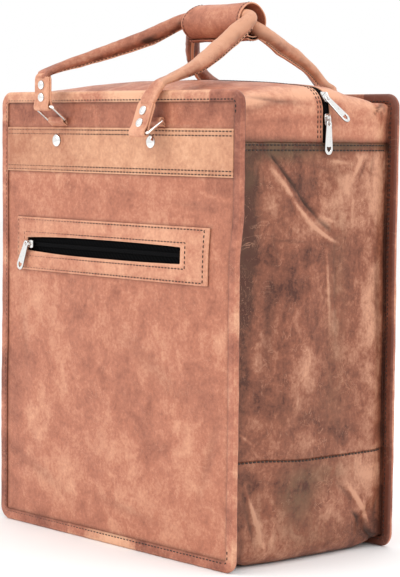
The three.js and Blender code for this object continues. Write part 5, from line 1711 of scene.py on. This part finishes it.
@dataclass(frozen=True)
class End:
    """One end of a handle.

    Attributes:
        side: -1 on the front, 1 on the back.
        x: Its place across the bag.
        ring_tilt: Degrees that the ring stands up from level.
        tab_lean: Degrees that the tab leans in over the bag.
        rivet_aside: How far the chape's rivet sits to the side.
    """

    side: int
    x: float
    ring_tilt: float
    tab_lean: float
    rivet_aside: float = 0.0

    eye_height = 430.4
    eye_out = 3.7
    ring_length = 23.0
    rivet_height = 409.5

    def swell(self) -> float:
        """How far the panel swells out at the mount."""
        return float(Form.rise(np.array(self.x), np.array(self.rivet_height)))

    def out(self) -> Array:
        """Direction out of the bag."""
        return np.array([0.0, float(self.side), 0.0])

    def ring_start(self) -> Array:
        """Middle of the ring's lower bar."""
        return np.array([self.x, self.side * (-Form.face + self.swell() + self.eye_out), self.eye_height])

    def ring_along(self) -> Array:
        """Direction from the ring's lower bar to its upper one."""
        tilt = math.radians(self.ring_tilt)
        return self.out() * math.cos(tilt) + UP * math.sin(tilt)

    def tab_start(self) -> Array:
        """Middle of the ring's upper bar."""
        return self.ring_start() + self.ring_along() * self.ring_length

    def tab_along(self) -> Array:
        """Direction up the tab."""
        lean = math.radians(self.tab_lean)
        return UP * math.cos(lean) - self.out() * math.sin(lean)

    def tab_out(self) -> Array:
        """Direction square to the tab, out of the bag."""
        lean = math.radians(self.tab_lean)
        return self.out() * math.cos(lean) + UP * math.sin(lean)


ENDS = {
    "front_left": End(-1, -88.0, 36.0, 0.0, -3.5),
    "front_right": End(-1, 66.5, -32.0, 20.0, -7.0),
    "back_left": End(1, -88.0, -5.0, 12.0),
    "back_right": End(1, 66.5, 8.0, 6.0),
}


def rivet_profile(head: float, grip: float) -> list[tuple[float, float]]:
    """Rings of a domed rivet from its crown to its washer inside, for revolving."""
    crown = head * 0.42
    dome = [(head * math.sin(math.radians(t)), crown * math.cos(math.radians(t)) * 0.92 + 0.12)
            for t in (4, 18, 34, 50, 66, 80)]
    return [*dome, (head, 0.25), (head - 0.15, 0.0), (1.5, 0.0), (1.5, -grip), (head * 0.8, -grip),
            (head * 0.85, -grip - 0.4), (head * 0.3, -grip - 1.2)]


@dataclass
class Mounts:
    """Chapes, rings and rivets that carry the handles."""

    finishes: Finishes
    strap: float = 1.6
    strap_wide: float = 24.5
    wire: float = 3.0
    ring_wide: float = 29.0
    ring_corner: float = 2.6
    chape_low: float = 396.5
    rivet_radius: float = 6.5

    def build(self) -> None:
        """Makes the four mounts."""
        for name, end in ENDS.items():
            self.build_chape(name, end)
            self.build_ring(name, end)
            self.build_rivet(name, end)

    def build_chape(self, name: str, end: End) -> None:
        """Makes the folded strap whose eye holds the ring."""
        eye_z, out, swell = end.eye_height, end.eye_out, end.swell()
        middle = self.wire / 2 + Form.gap + self.strap / 2
        low = self.chape_low
        neck = eye_z - middle - self.strap / 2
        path = [(-2.9, low), (-2.9, 415.0), (-2.7, neck - 2.6), (-1.2, neck - 2.4), (1.0, neck - 2.2)]
        path += arc(out, eye_z, middle, -62, 176, 22)
        path += [(0.9, neck + 0.4), (-1.4, neck - 0.8), (-4.2, neck - 1.4), (-4.5, 415.0), (-4.5, low)]
        origin = np.array([end.x, end.side * (-Form.face + swell), 0.0])
        ribbon = Ribbon(path, self.strap, self.strap_wide)
        piece = ribbon.build(f"{name}_chape_strap", origin, end.out(), UP, ACROSS, self.finishes.main,
                             seed=31.0 + end.x, tone=0.6)
        fit_piece(piece, "main_leather", f"{name}_chape")

    def build_ring(self, name: str, end: End) -> None:
        """Makes the wire ring, with rounded corners."""
        half, corner = self.ring_wide / 2, self.ring_corner
        flat = rounded([(half, 0.0), (half, end.ring_length), (-half, end.ring_length), (-half, 0.0)], corner, 8)
        path, long = [], len(flat)
        for index in range(long):
            path.append(flat[index])
            nxt = flat[(index + 1) % long]
            if math.dist(flat[index], nxt) > 4:
                path += [tuple(mix(np.array(flat[index]), np.array(nxt), s)) for s in (0.25, 0.5, 0.75)]
        spots = np.array(path)
        start, along = end.ring_start(), end.ring_along()
        line = start + spots[:, 0:1] * ACROSS + spots[:, 1:2] * along
        piece = tube(f"{name}_ring_wire", line, self.wire / 2 + 0.15, 16, self.finishes.nickel,
                     np.cross(ACROSS, along), closed=True)
        fit_piece(piece, "nickel", f"{name}_ring")

    def build_rivet(self, name: str, end: End) -> None:
        """Makes the rivet that holds the chape's tail."""
        grip = 2 * Form.leather + 2 * self.strap + 0.6 + 3 * Form.gap
        out = -Form.band_face + end.swell() + Form.gap
        seat = np.array([end.x + end.rivet_aside, end.side * out, end.rivet_height])
        basis = frame_at(seat, ACROSS, np.cross(end.out(), ACROSS))
        profile = rivet_profile(self.rivet_radius, grip)
        piece = revolved(f"{name}_chape_rivet_dome", profile, basis, self.finishes.nickel)
        fit_piece(piece, "nickel", f"{name}_chape_rivet")


@dataclass(frozen=True)
class Stop:
    """A place along a handle, and how the rolled leather is there."""

    place: tuple[float, float, float]
    flat: float
    thick: float
    blend: float
    fin: float


# How each handle leg runs from its tab to the wrap: share of the way, how far aside and down in leg
# lengths, how flat and how thick
LEG_ROWS = {
    "front_left": ((0.1, 0, -0.015, 0.55, 0.85), (0.26, 0, -0.01, 0.2, 0.82), (0.5, 0, 0.004, 0.1, 0.92),
                   (0.78, 0, 0.01, 0, 1)),
    "front_right": ((0.1, -0.02, -0.068, 0.85, 1), (0.19, -0.05, -0.058, 0.7, 1.15),
                    (0.4, -0.07, -0.015, 0.4, 1.3), (0.6, -0.05, 0, 0.2, 1.28), (0.8, -0.02, 0, 0, 1.12)),
    "back_left": ((0.15, 0.045, 0, 0.7, 1), (0.35, 0.08, 0.045, 0.35, 1), (0.6, 0.115, 0.08, 0.1, 1.05),
                  (0.82, 0.085, 0.06, 0, 1.05)),
    "back_right": ((0.12, 0, 0.004, 0.6, 0.95), (0.3, 0, -0.033, 0.35, 1), (0.5, 0, -0.036, 0.15, 1.02),
                   (0.75, 0, -0.018, 0, 1)),
}


@dataclass
class Handles:
    """Rolled leather handles with flattened tabs, and the wrap that holds them together."""

    finishes: Finishes
    tab_wide: float = 22.5
    tab_thick: float = 5.0
    tab_long: float = 32.0
    rivet_heights: tuple[float, float] = (9.5, 22.2)
    rivet_head: float = 9.5
    grip_z: float = 533.0
    stagger: float = 2.5
    grip_thick: float = 14.5
    spacing: float = 15.2
    fin: float = 3.6
    wrap_low: float = -1.0
    wrap_high: float = 87.0
    wrap_size: tuple[float, float] = (37.6, 38.0)
    wrap_overlap: float = 14.0
    wrap_drop: float = 2.5
    strip_thick: float = 0.8
    mouth_run: float = 12.0
    thread: Seams = field(default_factory=lambda: Seams(0.45, 4.0, 2.8))

    def build(self) -> None:
        """Makes both handles, their tabs and rivets, and the wrap."""
        for side, prefix in ((-1, "front"), (1, "back")):
            self.build_roll(side, prefix)
            for hand in ("left", "right"):
                self.build_tab(f"{prefix}_{hand}", ENDS[f"{prefix}_{hand}"], f"{prefix}_handle")
        self.thread.build("handle_thread", self.finishes.thread, "main_leather")
        self.build_wrap()

    def leg(self, name: str, mouth: Array) -> list[Stop]:
        """Stops from the tab to the mouth of the wrap."""
        end = ENDS[name]
        top = end.tab_start() + end.tab_along() * self.tab_long
        length = float(np.linalg.norm(mouth - top))
        lower = top - end.tab_along() * self.rivet_head / 3
        stops = [Stop(tuple(lower), 1, 1, 1, 0), Stop(tuple(top), 1, 1, 1, 0)]
        for share, aside, sag, flat, thick in LEG_ROWS[name]:
            place = mix(top, mouth, share) - ACROSS * aside * length - UP * sag * length
            stops.append(Stop(tuple(place), flat, thick, max(0.0, 1 - share * 3), 1 - flat))
        return stops

    def stops(self, side: int, prefix: str) -> list[Stop]:
        """Every stop along a handle, from its left tab to its right one."""
        grip_y, grip_z = side * self.spacing / 2, self.grip_z - side * self.stagger
        left = np.array([self.wrap_low - self.mouth_run, grip_y * 1.45, grip_z - 3])
        right = np.array([self.wrap_high + self.mouth_run * 0.72, grip_y * 1.55, grip_z - 3])
        last = self.wrap_high - 3
        if side > 0:
            right = np.array([self.wrap_high + 1, grip_y * 1.55, self.grip_z - 12.5])
            last = self.wrap_high - 22
        grips = [Stop((x, grip_y, grip_z), 0, 1, 0, 0) for x in np.linspace(self.wrap_low + 2, last, 4)]
        return [*self.leg(f"{prefix}_left", left), Stop(tuple(left), 0, 1, 0, 0.3), *grips,
                Stop(tuple(right), 0, 1, 0, 0.3), *reversed(self.leg(f"{prefix}_right", right))]

    @staticmethod
    def curve(points: Array, places: Array) -> Array:
        """Centripetal spline through points, at places counted in points."""
        padded = np.concatenate([[2 * points[0] - points[1]], points, [2 * points[-1] - points[-2]]])
        low = np.clip(np.floor(places).astype(int), 0, len(points) - 2)
        weight = (places - low)[:, None]
        p0, p1, p2, p3 = (padded[low + k] for k in range(4))
        gaps = ((p0, p1), (p1, p2), (p2, p3))
        d0, d1, d2 = (np.sqrt(np.linalg.norm(b - a, axis=1, keepdims=True)) for a, b in gaps)
        t1 = ((p1 - p0) / d0 - (p2 - p0) / (d0 + d1) + (p2 - p1) / d1) * d1
        t2 = ((p2 - p1) / d1 - (p3 - p1) / (d1 + d2) + (p3 - p2) / d2) * d1
        c2 = -3 * p1 + 3 * p2 - 2 * t1 - t2
        c3 = 2 * p1 - 2 * p2 + t1 + t2
        return p1 + t1 * weight + c2 * weight**2 + c3 * weight**3

    def build_roll(self, side: int, prefix: str) -> None:
        """Makes the rolled leather of one handle, with the stitches of its fin."""
        stops = self.stops(side, prefix)
        points = np.array([stop.place for stop in stops])
        count = len(stops) - 1
        rough = np.linspace(0, count, 900)
        path = self.curve(points, rough)
        length = lengths_along(path)
        places = np.interp(np.arange(0, length[-1], 1.8), length, rough)
        centre = self.curve(points, places)
        along = unit(self.curve(points, places + 0.01) - self.curve(points, places - 0.01))

        def mixed(key: str) -> Array:
            """One value of the stops, at each place."""
            return np.interp(places, np.arange(len(stops)), [getattr(stop, key) for stop in stops])

        blend = mixed("blend")[:, None]
        level = unit(np.cross(along, UP))
        tab_across = np.where(places[:, None] < len(stops) / 2, 1.0, -1.0) * ACROSS * -side
        across = unit(level * (1 - blend) + tab_across * blend)
        across = unit(across - along * np.sum(across * along, axis=1, keepdims=True))
        up = unit(np.cross(across, along))
        flat, radius = mixed("flat"), mixed("thick") * self.grip_thick / 2
        wide = mix(radius, self.tab_wide / 2, flat**1.5)
        high = mix(radius, self.tab_thick / 2 + 0.1, flat**0.8)
        run = np.arange(0, length[-1], 1.8)
        end = np.clip(np.minimum(run, length[-1] - run) / 9.0, 0.0, 1.0)
        wide = wide * mix(0.45, 1.0, np.sqrt(end * (2.0 - end)))
        power = mix(1.0, 0.45, flat)
        fin = self.fin * mixed("fin")
        section, depth = self.section(wide, high, power, fin)
        grid = centre[:, None] + across[:, None] * section[..., 0:1] + up[:, None] * section[..., 1:2]
        outward = unit(grid - centre[:, None])
        bend = np.clip(mixed("fin"), 0.15, 1.0)[:, None]
        crumple = 0.6 * SOFT(grid + 9.0 * side, 15.0) + 0.45 * SOFT(grid + 3.0 * side, 6.0)
        crumple = crumple + 0.16 * SOFT(grid, 3.0)
        grid = grid + outward * (crumple * bend * (1 - 0.6 * depth))[..., None]
        x = grid[..., 0]
        # Painted shade on the roll's underside; the fin, which faces down, is its pale raw edge pushed lighter as
        # painted light.
        below = (centre[:, None, 2] - grid[..., 2]) * (depth < 0.1)
        near = bell(x + 24.0, 30.0) * (side < 0)
        tone = 0.5 + 0.2 * MOTTLE(grid, 26.0) + 0.8 * (depth > 0.4) - 0.2 * smooth((below - 1) / 5)
        tone = tone + 0.32 * smooth((x - 62.0) / 20.0) - 0.06 * smooth((-x - 6.0) / 10.0)
        # Painted shade in the groove where the fin meets the roll.
        dark = 0.5 * bell(depth - 0.12, 0.12) * (fin[:, None] > 0.6)
        # Painted shade in the creases on the underside, strongest on the front handle near the wrap.
        crease = np.clip(1.6 * SOFT(grid + 5.0, 7.0) + 0.4, 0, 1)
        dark = dark + (0.25 + 0.6 * near) * crease * smooth((below + 1.0) / 4)
        # On the right legs: a pale stripe for the folded raw edge, and painted shade in the groove just above it.
        edge = -np.sum((grid - centre[:, None]) * up[:, None], axis=-1) / high[:, None]
        right = smooth((x - 62.0) / 12.0) * (fin[:, None] < 0.6) * (flat[:, None] < 0.5)
        tone = tone + 0.6 * right * bell(edge - 0.62, 0.14)
        dark = dark + 0.5 * right * bell(edge - 0.36, 0.08)
        piece = lofted(f"{prefix}_handle_roll", grid, self.finishes.main, marks=Marks(tone, 0 * tone, dark))
        fit_piece(piece, "main_leather", f"{prefix}_handle")
        keep = mixed("fin") > 0.45
        for group in np.split(np.arange(len(places)), np.flatnonzero(np.diff(keep.astype(int))) + 1):
            if not keep[group[0]] or len(group) < 6:
                continue
            low = (high + fin * 0.45)[group][:, None]
            for hand in (-1.0, 1.0):
                row = centre[group] - up[group] * low + across[group] * hand * 1.75
                self.thread.along(row, across[group] * hand)

    @staticmethod
    def section(wide: Array, high: Array, power: Array, fin: Array) -> tuple[Array, Array]:
        """Rings of the roll with a sewn fin below.

        Args:
            wide: Half widths along the handle.
            high: Half heights.
            power: Squareness, 1 for round.
            fin: Depth of the fin.

        Returns:
            Points of each section, and how far each is down the fin from 0 to 1.
        """
        turns = np.radians(np.linspace(-90 + 24, 270 - 24, 27))
        cos, sin = np.cos(turns), np.sin(turns)
        x = np.sign(cos) * np.abs(cos) ** power[:, None] * wide[:, None]
        y = np.sign(sin) * np.abs(sin) ** power[:, None] * high[:, None]
        half = 1.6
        shares = np.array([0.12, 0.3, 0.55, 0.85, 0.98])
        fall = -high[:, None] * 0.96 - fin[:, None] * shares[None, :]
        sides = np.array([half + 0.4, half, half, half, half - 0.35])[None, :] * np.ones_like(fall)
        left = np.stack([-sides, fall], axis=-1)
        right = np.stack([sides, fall], axis=-1)[:, ::-1]
        body = np.stack([x, y], axis=-1)
        points = np.concatenate([body, left, right], axis=1)
        depth = np.concatenate([np.zeros(27), shares, shares[::-1]])
        return points, np.broadcast_to(depth, points.shape[:2])

    def build_tab(self, name: str, end: End, node: str) -> None:
        """Makes the tab folded round the ring, and its two rivets."""
        layer = self.tab_thick / 2 - 0.15
        round_ring = 1.5 + Form.gap + layer / 2
        top = self.tab_long + 2.0
        path = [(-layer / 2 - 0.15, top), (-layer / 2 - 0.15, 8.0), (-layer / 2 - 0.5, 6.0)]
        path += arc(0, 0, round_ring, 160, 380, 20)
        path += [(layer / 2 + 0.5, 6.0), (layer / 2 + 0.15, 8.0), (layer / 2 + 0.15, top)]
        out, along = end.tab_out(), end.tab_along()
        ribbon = Ribbon(path, layer, self.tab_wide)
        piece = ribbon.build(f"{name}_tab_strap", end.tab_start(), out, along, ACROSS, self.finishes.main,
                             seed=end.x, tone=0.68, corner=7.0)
        fit_piece(piece, "main_leather", node)
        grip = self.tab_thick + 2 * Form.gap
        for number, height in enumerate(self.rivet_heights, start=1):
            seat = end.tab_start() + along * height + out * grip / 2
            basis = frame_at(seat, ACROSS, np.cross(out, ACROSS))
            head = revolved(f"{name}_tab_rivet_{number}_dome", rivet_profile(self.rivet_head / 2, grip), basis,
                            self.finishes.nickel)
            fit_piece(head, "nickel", f"{name}_tab_rivet_{number}")

    def build_wrap(self) -> None:
        """Makes the wrap round both grips, and the black strip of its fastening."""
        wide, high = (size / 2 for size in self.wrap_size)
        leather, middle = Form.leather, self.grip_z - self.wrap_drop
        turn_over = self.wrap_overlap / (wide + high) * 360 / math.pi
        step = leather + self.strip_thick + 2 * Form.gap
        start = -90 - turn_over / 2
        ramp = (1.05 * turn_over / (360 + turn_over), 0.32)

        def place(share: Array, x: Array) -> Array:
            """Point of the wrap, a share of the way round it."""
            share, x = np.broadcast_arrays(share, x)
            angle = np.radians(start + share * (360 + turn_over))
            grown = -step * (1 - smooth((share - ramp[0]) / (ramp[1] - ramp[0])))
            spot = np.stack([x, -np.cos(angle) * 18, np.sin(angle) * 18], axis=-1)
            wave = 0.55 * SOFT(spot + 70, 22.0) + 0.3 * SOFT(spot + 30, 9.0)
            wave = wave * smooth((grown + step) / step)
            leftward = np.clip((self.wrap_high - x) / 88.0, 0.0, 1.0)
            cut = 10.0 * np.clip(np.sin(angle), 0.0, 1.0) ** 2 * leftward**2
            return np.stack([x + cut, -(wide + grown + wave) * np.cos(angle),
                             middle + (high + grown + wave) * np.sin(angle)], axis=-1)

        surface = Surface(place, 0.002, 0.5)
        normal = surface.normal(np.array([0.5]), np.array([40.0]))[0]
        surface.sign = 1.0 if normal[2] > 0 else -1.0
        shares = np.linspace(0, 1, 96)
        xs = steps(self.wrap_low, self.wrap_high, 2.6, self.wrap_low + 3.0, self.wrap_high - 3.0)

        def shades(share: Array, x: Array) -> Marks:
            """Marks of the wrap's leather."""
            edge = np.minimum(x - self.wrap_low, self.wrap_high - x)
            tone = 0.52 + 0.3 * MOTTLE(place(share, x), 30.0) + 0.3 * bell(edge, 0.8)
            # Lighter at the raw edges; painted shade in the grooves of the stitch rows.
            return Marks(tone, 0 * tone, 0.25 * bell(edge - 3.0, 0.7))

        piece = surface.sheet("handle_wrap_leather", shares, xs, leather, self.finishes.main, shades)
        fit_piece(piece, "main_leather", "handle_wrap")
        seam = Seams(0.38, 3.6, 2.6)
        turns = np.linspace(0.12, 0.99, 260)
        for x in (self.wrap_low + 3.0, self.wrap_high - 3.0):
            seam.on(surface, turns, np.full(turns.shape, x))
        seam.build("wrap_thread", self.finishes.thread, "main_leather")

        outer = leather + Form.gap
        turns = np.linspace(-90 - turn_over * 0.4, -90 + turn_over * 0.4, 12)
        line = np.radians(turns)
        ring = [((wide - outer) * math.cos(a), (high - outer) * math.sin(a)) for a in line]
        inner = outer + self.strip_thick
        ring += [((wide - inner) * math.cos(a), (high - inner) * math.sin(a)) for a in line[::-1]]
        section = np.array(ring)
        xs = np.array([self.wrap_low - 0.8, self.wrap_low - 0.6, *np.linspace(self.wrap_low, self.wrap_high, 30),
                       self.wrap_high + 2.6, self.wrap_high + 2.8])
        grid = np.zeros((len(xs), len(section), 3))
        grid[..., 0] = xs[:, None]
        grid[..., 1] = section[None, :, 0]
        grid[..., 2] = middle + section[None, :, 1]
        strip = lofted("wrap_closure_strip", grid, self.finishes.tape)
        fit_piece(strip, "closure", "wrap_closure")


@dataclass(frozen=True)
class Lamp:
    """A soft area light.

    Attributes:
        place: Where it is, in metres.
        aim: What it points at.
        size: Its side, in metres.
        power: Watts.
        colour: Its colour.
    """

    place: tuple[float, float, float]
    aim: tuple[float, float, float]
    size: float
    power: float
    colour: Colour = (1.0, 1.0, 1.0)


@dataclass
class Studio:
    """Camera, soft light and pale floor."""

    place: tuple[float, float, float] = (1.5666, -1.3816, 0.4184)
    yaw: float = 48.374
    pitch: float = 4.421
    roll: float = 0.617
    focal: float = 2006.9
    sky: float = 1.0
    lamps: tuple[Lamp, ...] = (
        Lamp((-0.7, -2.2, 1.9), (0.0, 0.0, 0.25), 1.6, 25.0, (1.0, 0.985, 0.965)),
        Lamp((2.2, 0.3, 1.6), (0.1, 0.0, 0.25), 1.4, 13.0),
        Lamp((0.2, 0.4, 2.4), (0.0, 0.0, 0.4), 1.6, 12.0),
    )

    def build(self) -> None:
        """Sets up the view."""
        self.build_camera()
        self.build_light()
        self.build_floor()

    def build_camera(self) -> None:
        """Makes the camera that was fitted to the photograph's edges."""
        yaw, pitch, roll = (math.radians(a) for a in (self.yaw, self.pitch, self.roll))
        ahead = np.array([-math.sin(yaw) * math.cos(pitch), math.cos(yaw) * math.cos(pitch), -math.sin(pitch)])
        right = np.array([math.cos(yaw), math.sin(yaw), 0.0])
        upward = np.cross(right, ahead)
        turned = right * math.cos(roll) + upward * math.sin(roll)
        upward = np.cross(turned, ahead)
        data = bpy.data.cameras.new("camera")
        data.sensor_fit = "VERTICAL"
        data.sensor_height = 36.0
        data.lens = self.focal * 36.0 / 577.0
        data.clip_start = 0.05
        data.clip_end = 50.0
        camera = bpy.data.objects.new("camera", data)
        bpy.context.collection.objects.link(camera)
        camera.matrix_world = frame_at(np.array(self.place), turned, upward)
        bpy.context.scene.camera = camera

    def build_light(self) -> None:
        """Makes the pale surroundings and the lamps."""
        scene = bpy.context.scene
        world = bpy.data.worlds.new("studio")
        scene.world = world
        world.use_nodes = True
        world.node_tree.nodes["Background"].inputs["Color"].default_value = (1.0, 1.0, 1.0, 1.0)
        world.node_tree.nodes["Background"].inputs["Strength"].default_value = self.sky
        scene.view_settings.view_transform = "Standard"
        for number, lamp in enumerate(self.lamps, start=1):
            data = bpy.data.lights.new(f"soft_light_{number}", "AREA")
            data.shape = "SQUARE"
            data.size = lamp.size
            data.energy = lamp.power
            data.color = lamp.colour
            light = bpy.data.objects.new(f"soft_light_{number}", data)
            bpy.context.collection.objects.link(light)
            toward = Vector(lamp.aim) - Vector(lamp.place)
            light.location = lamp.place
            light.rotation_euler = toward.to_track_quat("-Z", "Y").to_euler()

    def build_floor(self) -> None:
        """Makes the pale floor."""
        shade = Shade("pale_floor", 0.85)
        colour = shade.blend((0.93, 0.93, 0.93), (0.96, 0.96, 0.96), shade.noise(3.0, 2.0))
        material = shade.finish(colour)
        reach = 6000.0
        corners = [(-reach, -reach, -0.1), (reach, -reach, -0.1), (reach, reach, -0.1), (-reach, reach, -0.1)]
        new_object("floor", np.array(corners), [(0, 1, 2, 3)], material)


def main() -> None:
    """Builds the bag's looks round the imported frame, and the studio."""
    logging.basicConfig(level=logging.INFO, format="%(message)s")
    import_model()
    finishes = Finishes()
    Gusset(finishes).build()
    Panels(finishes).build()
    Zips(finishes).build()
    Mounts(finishes).build()
    Handles(finishes).build()
    Studio().build()


if __name__ == "__main__":
    main()
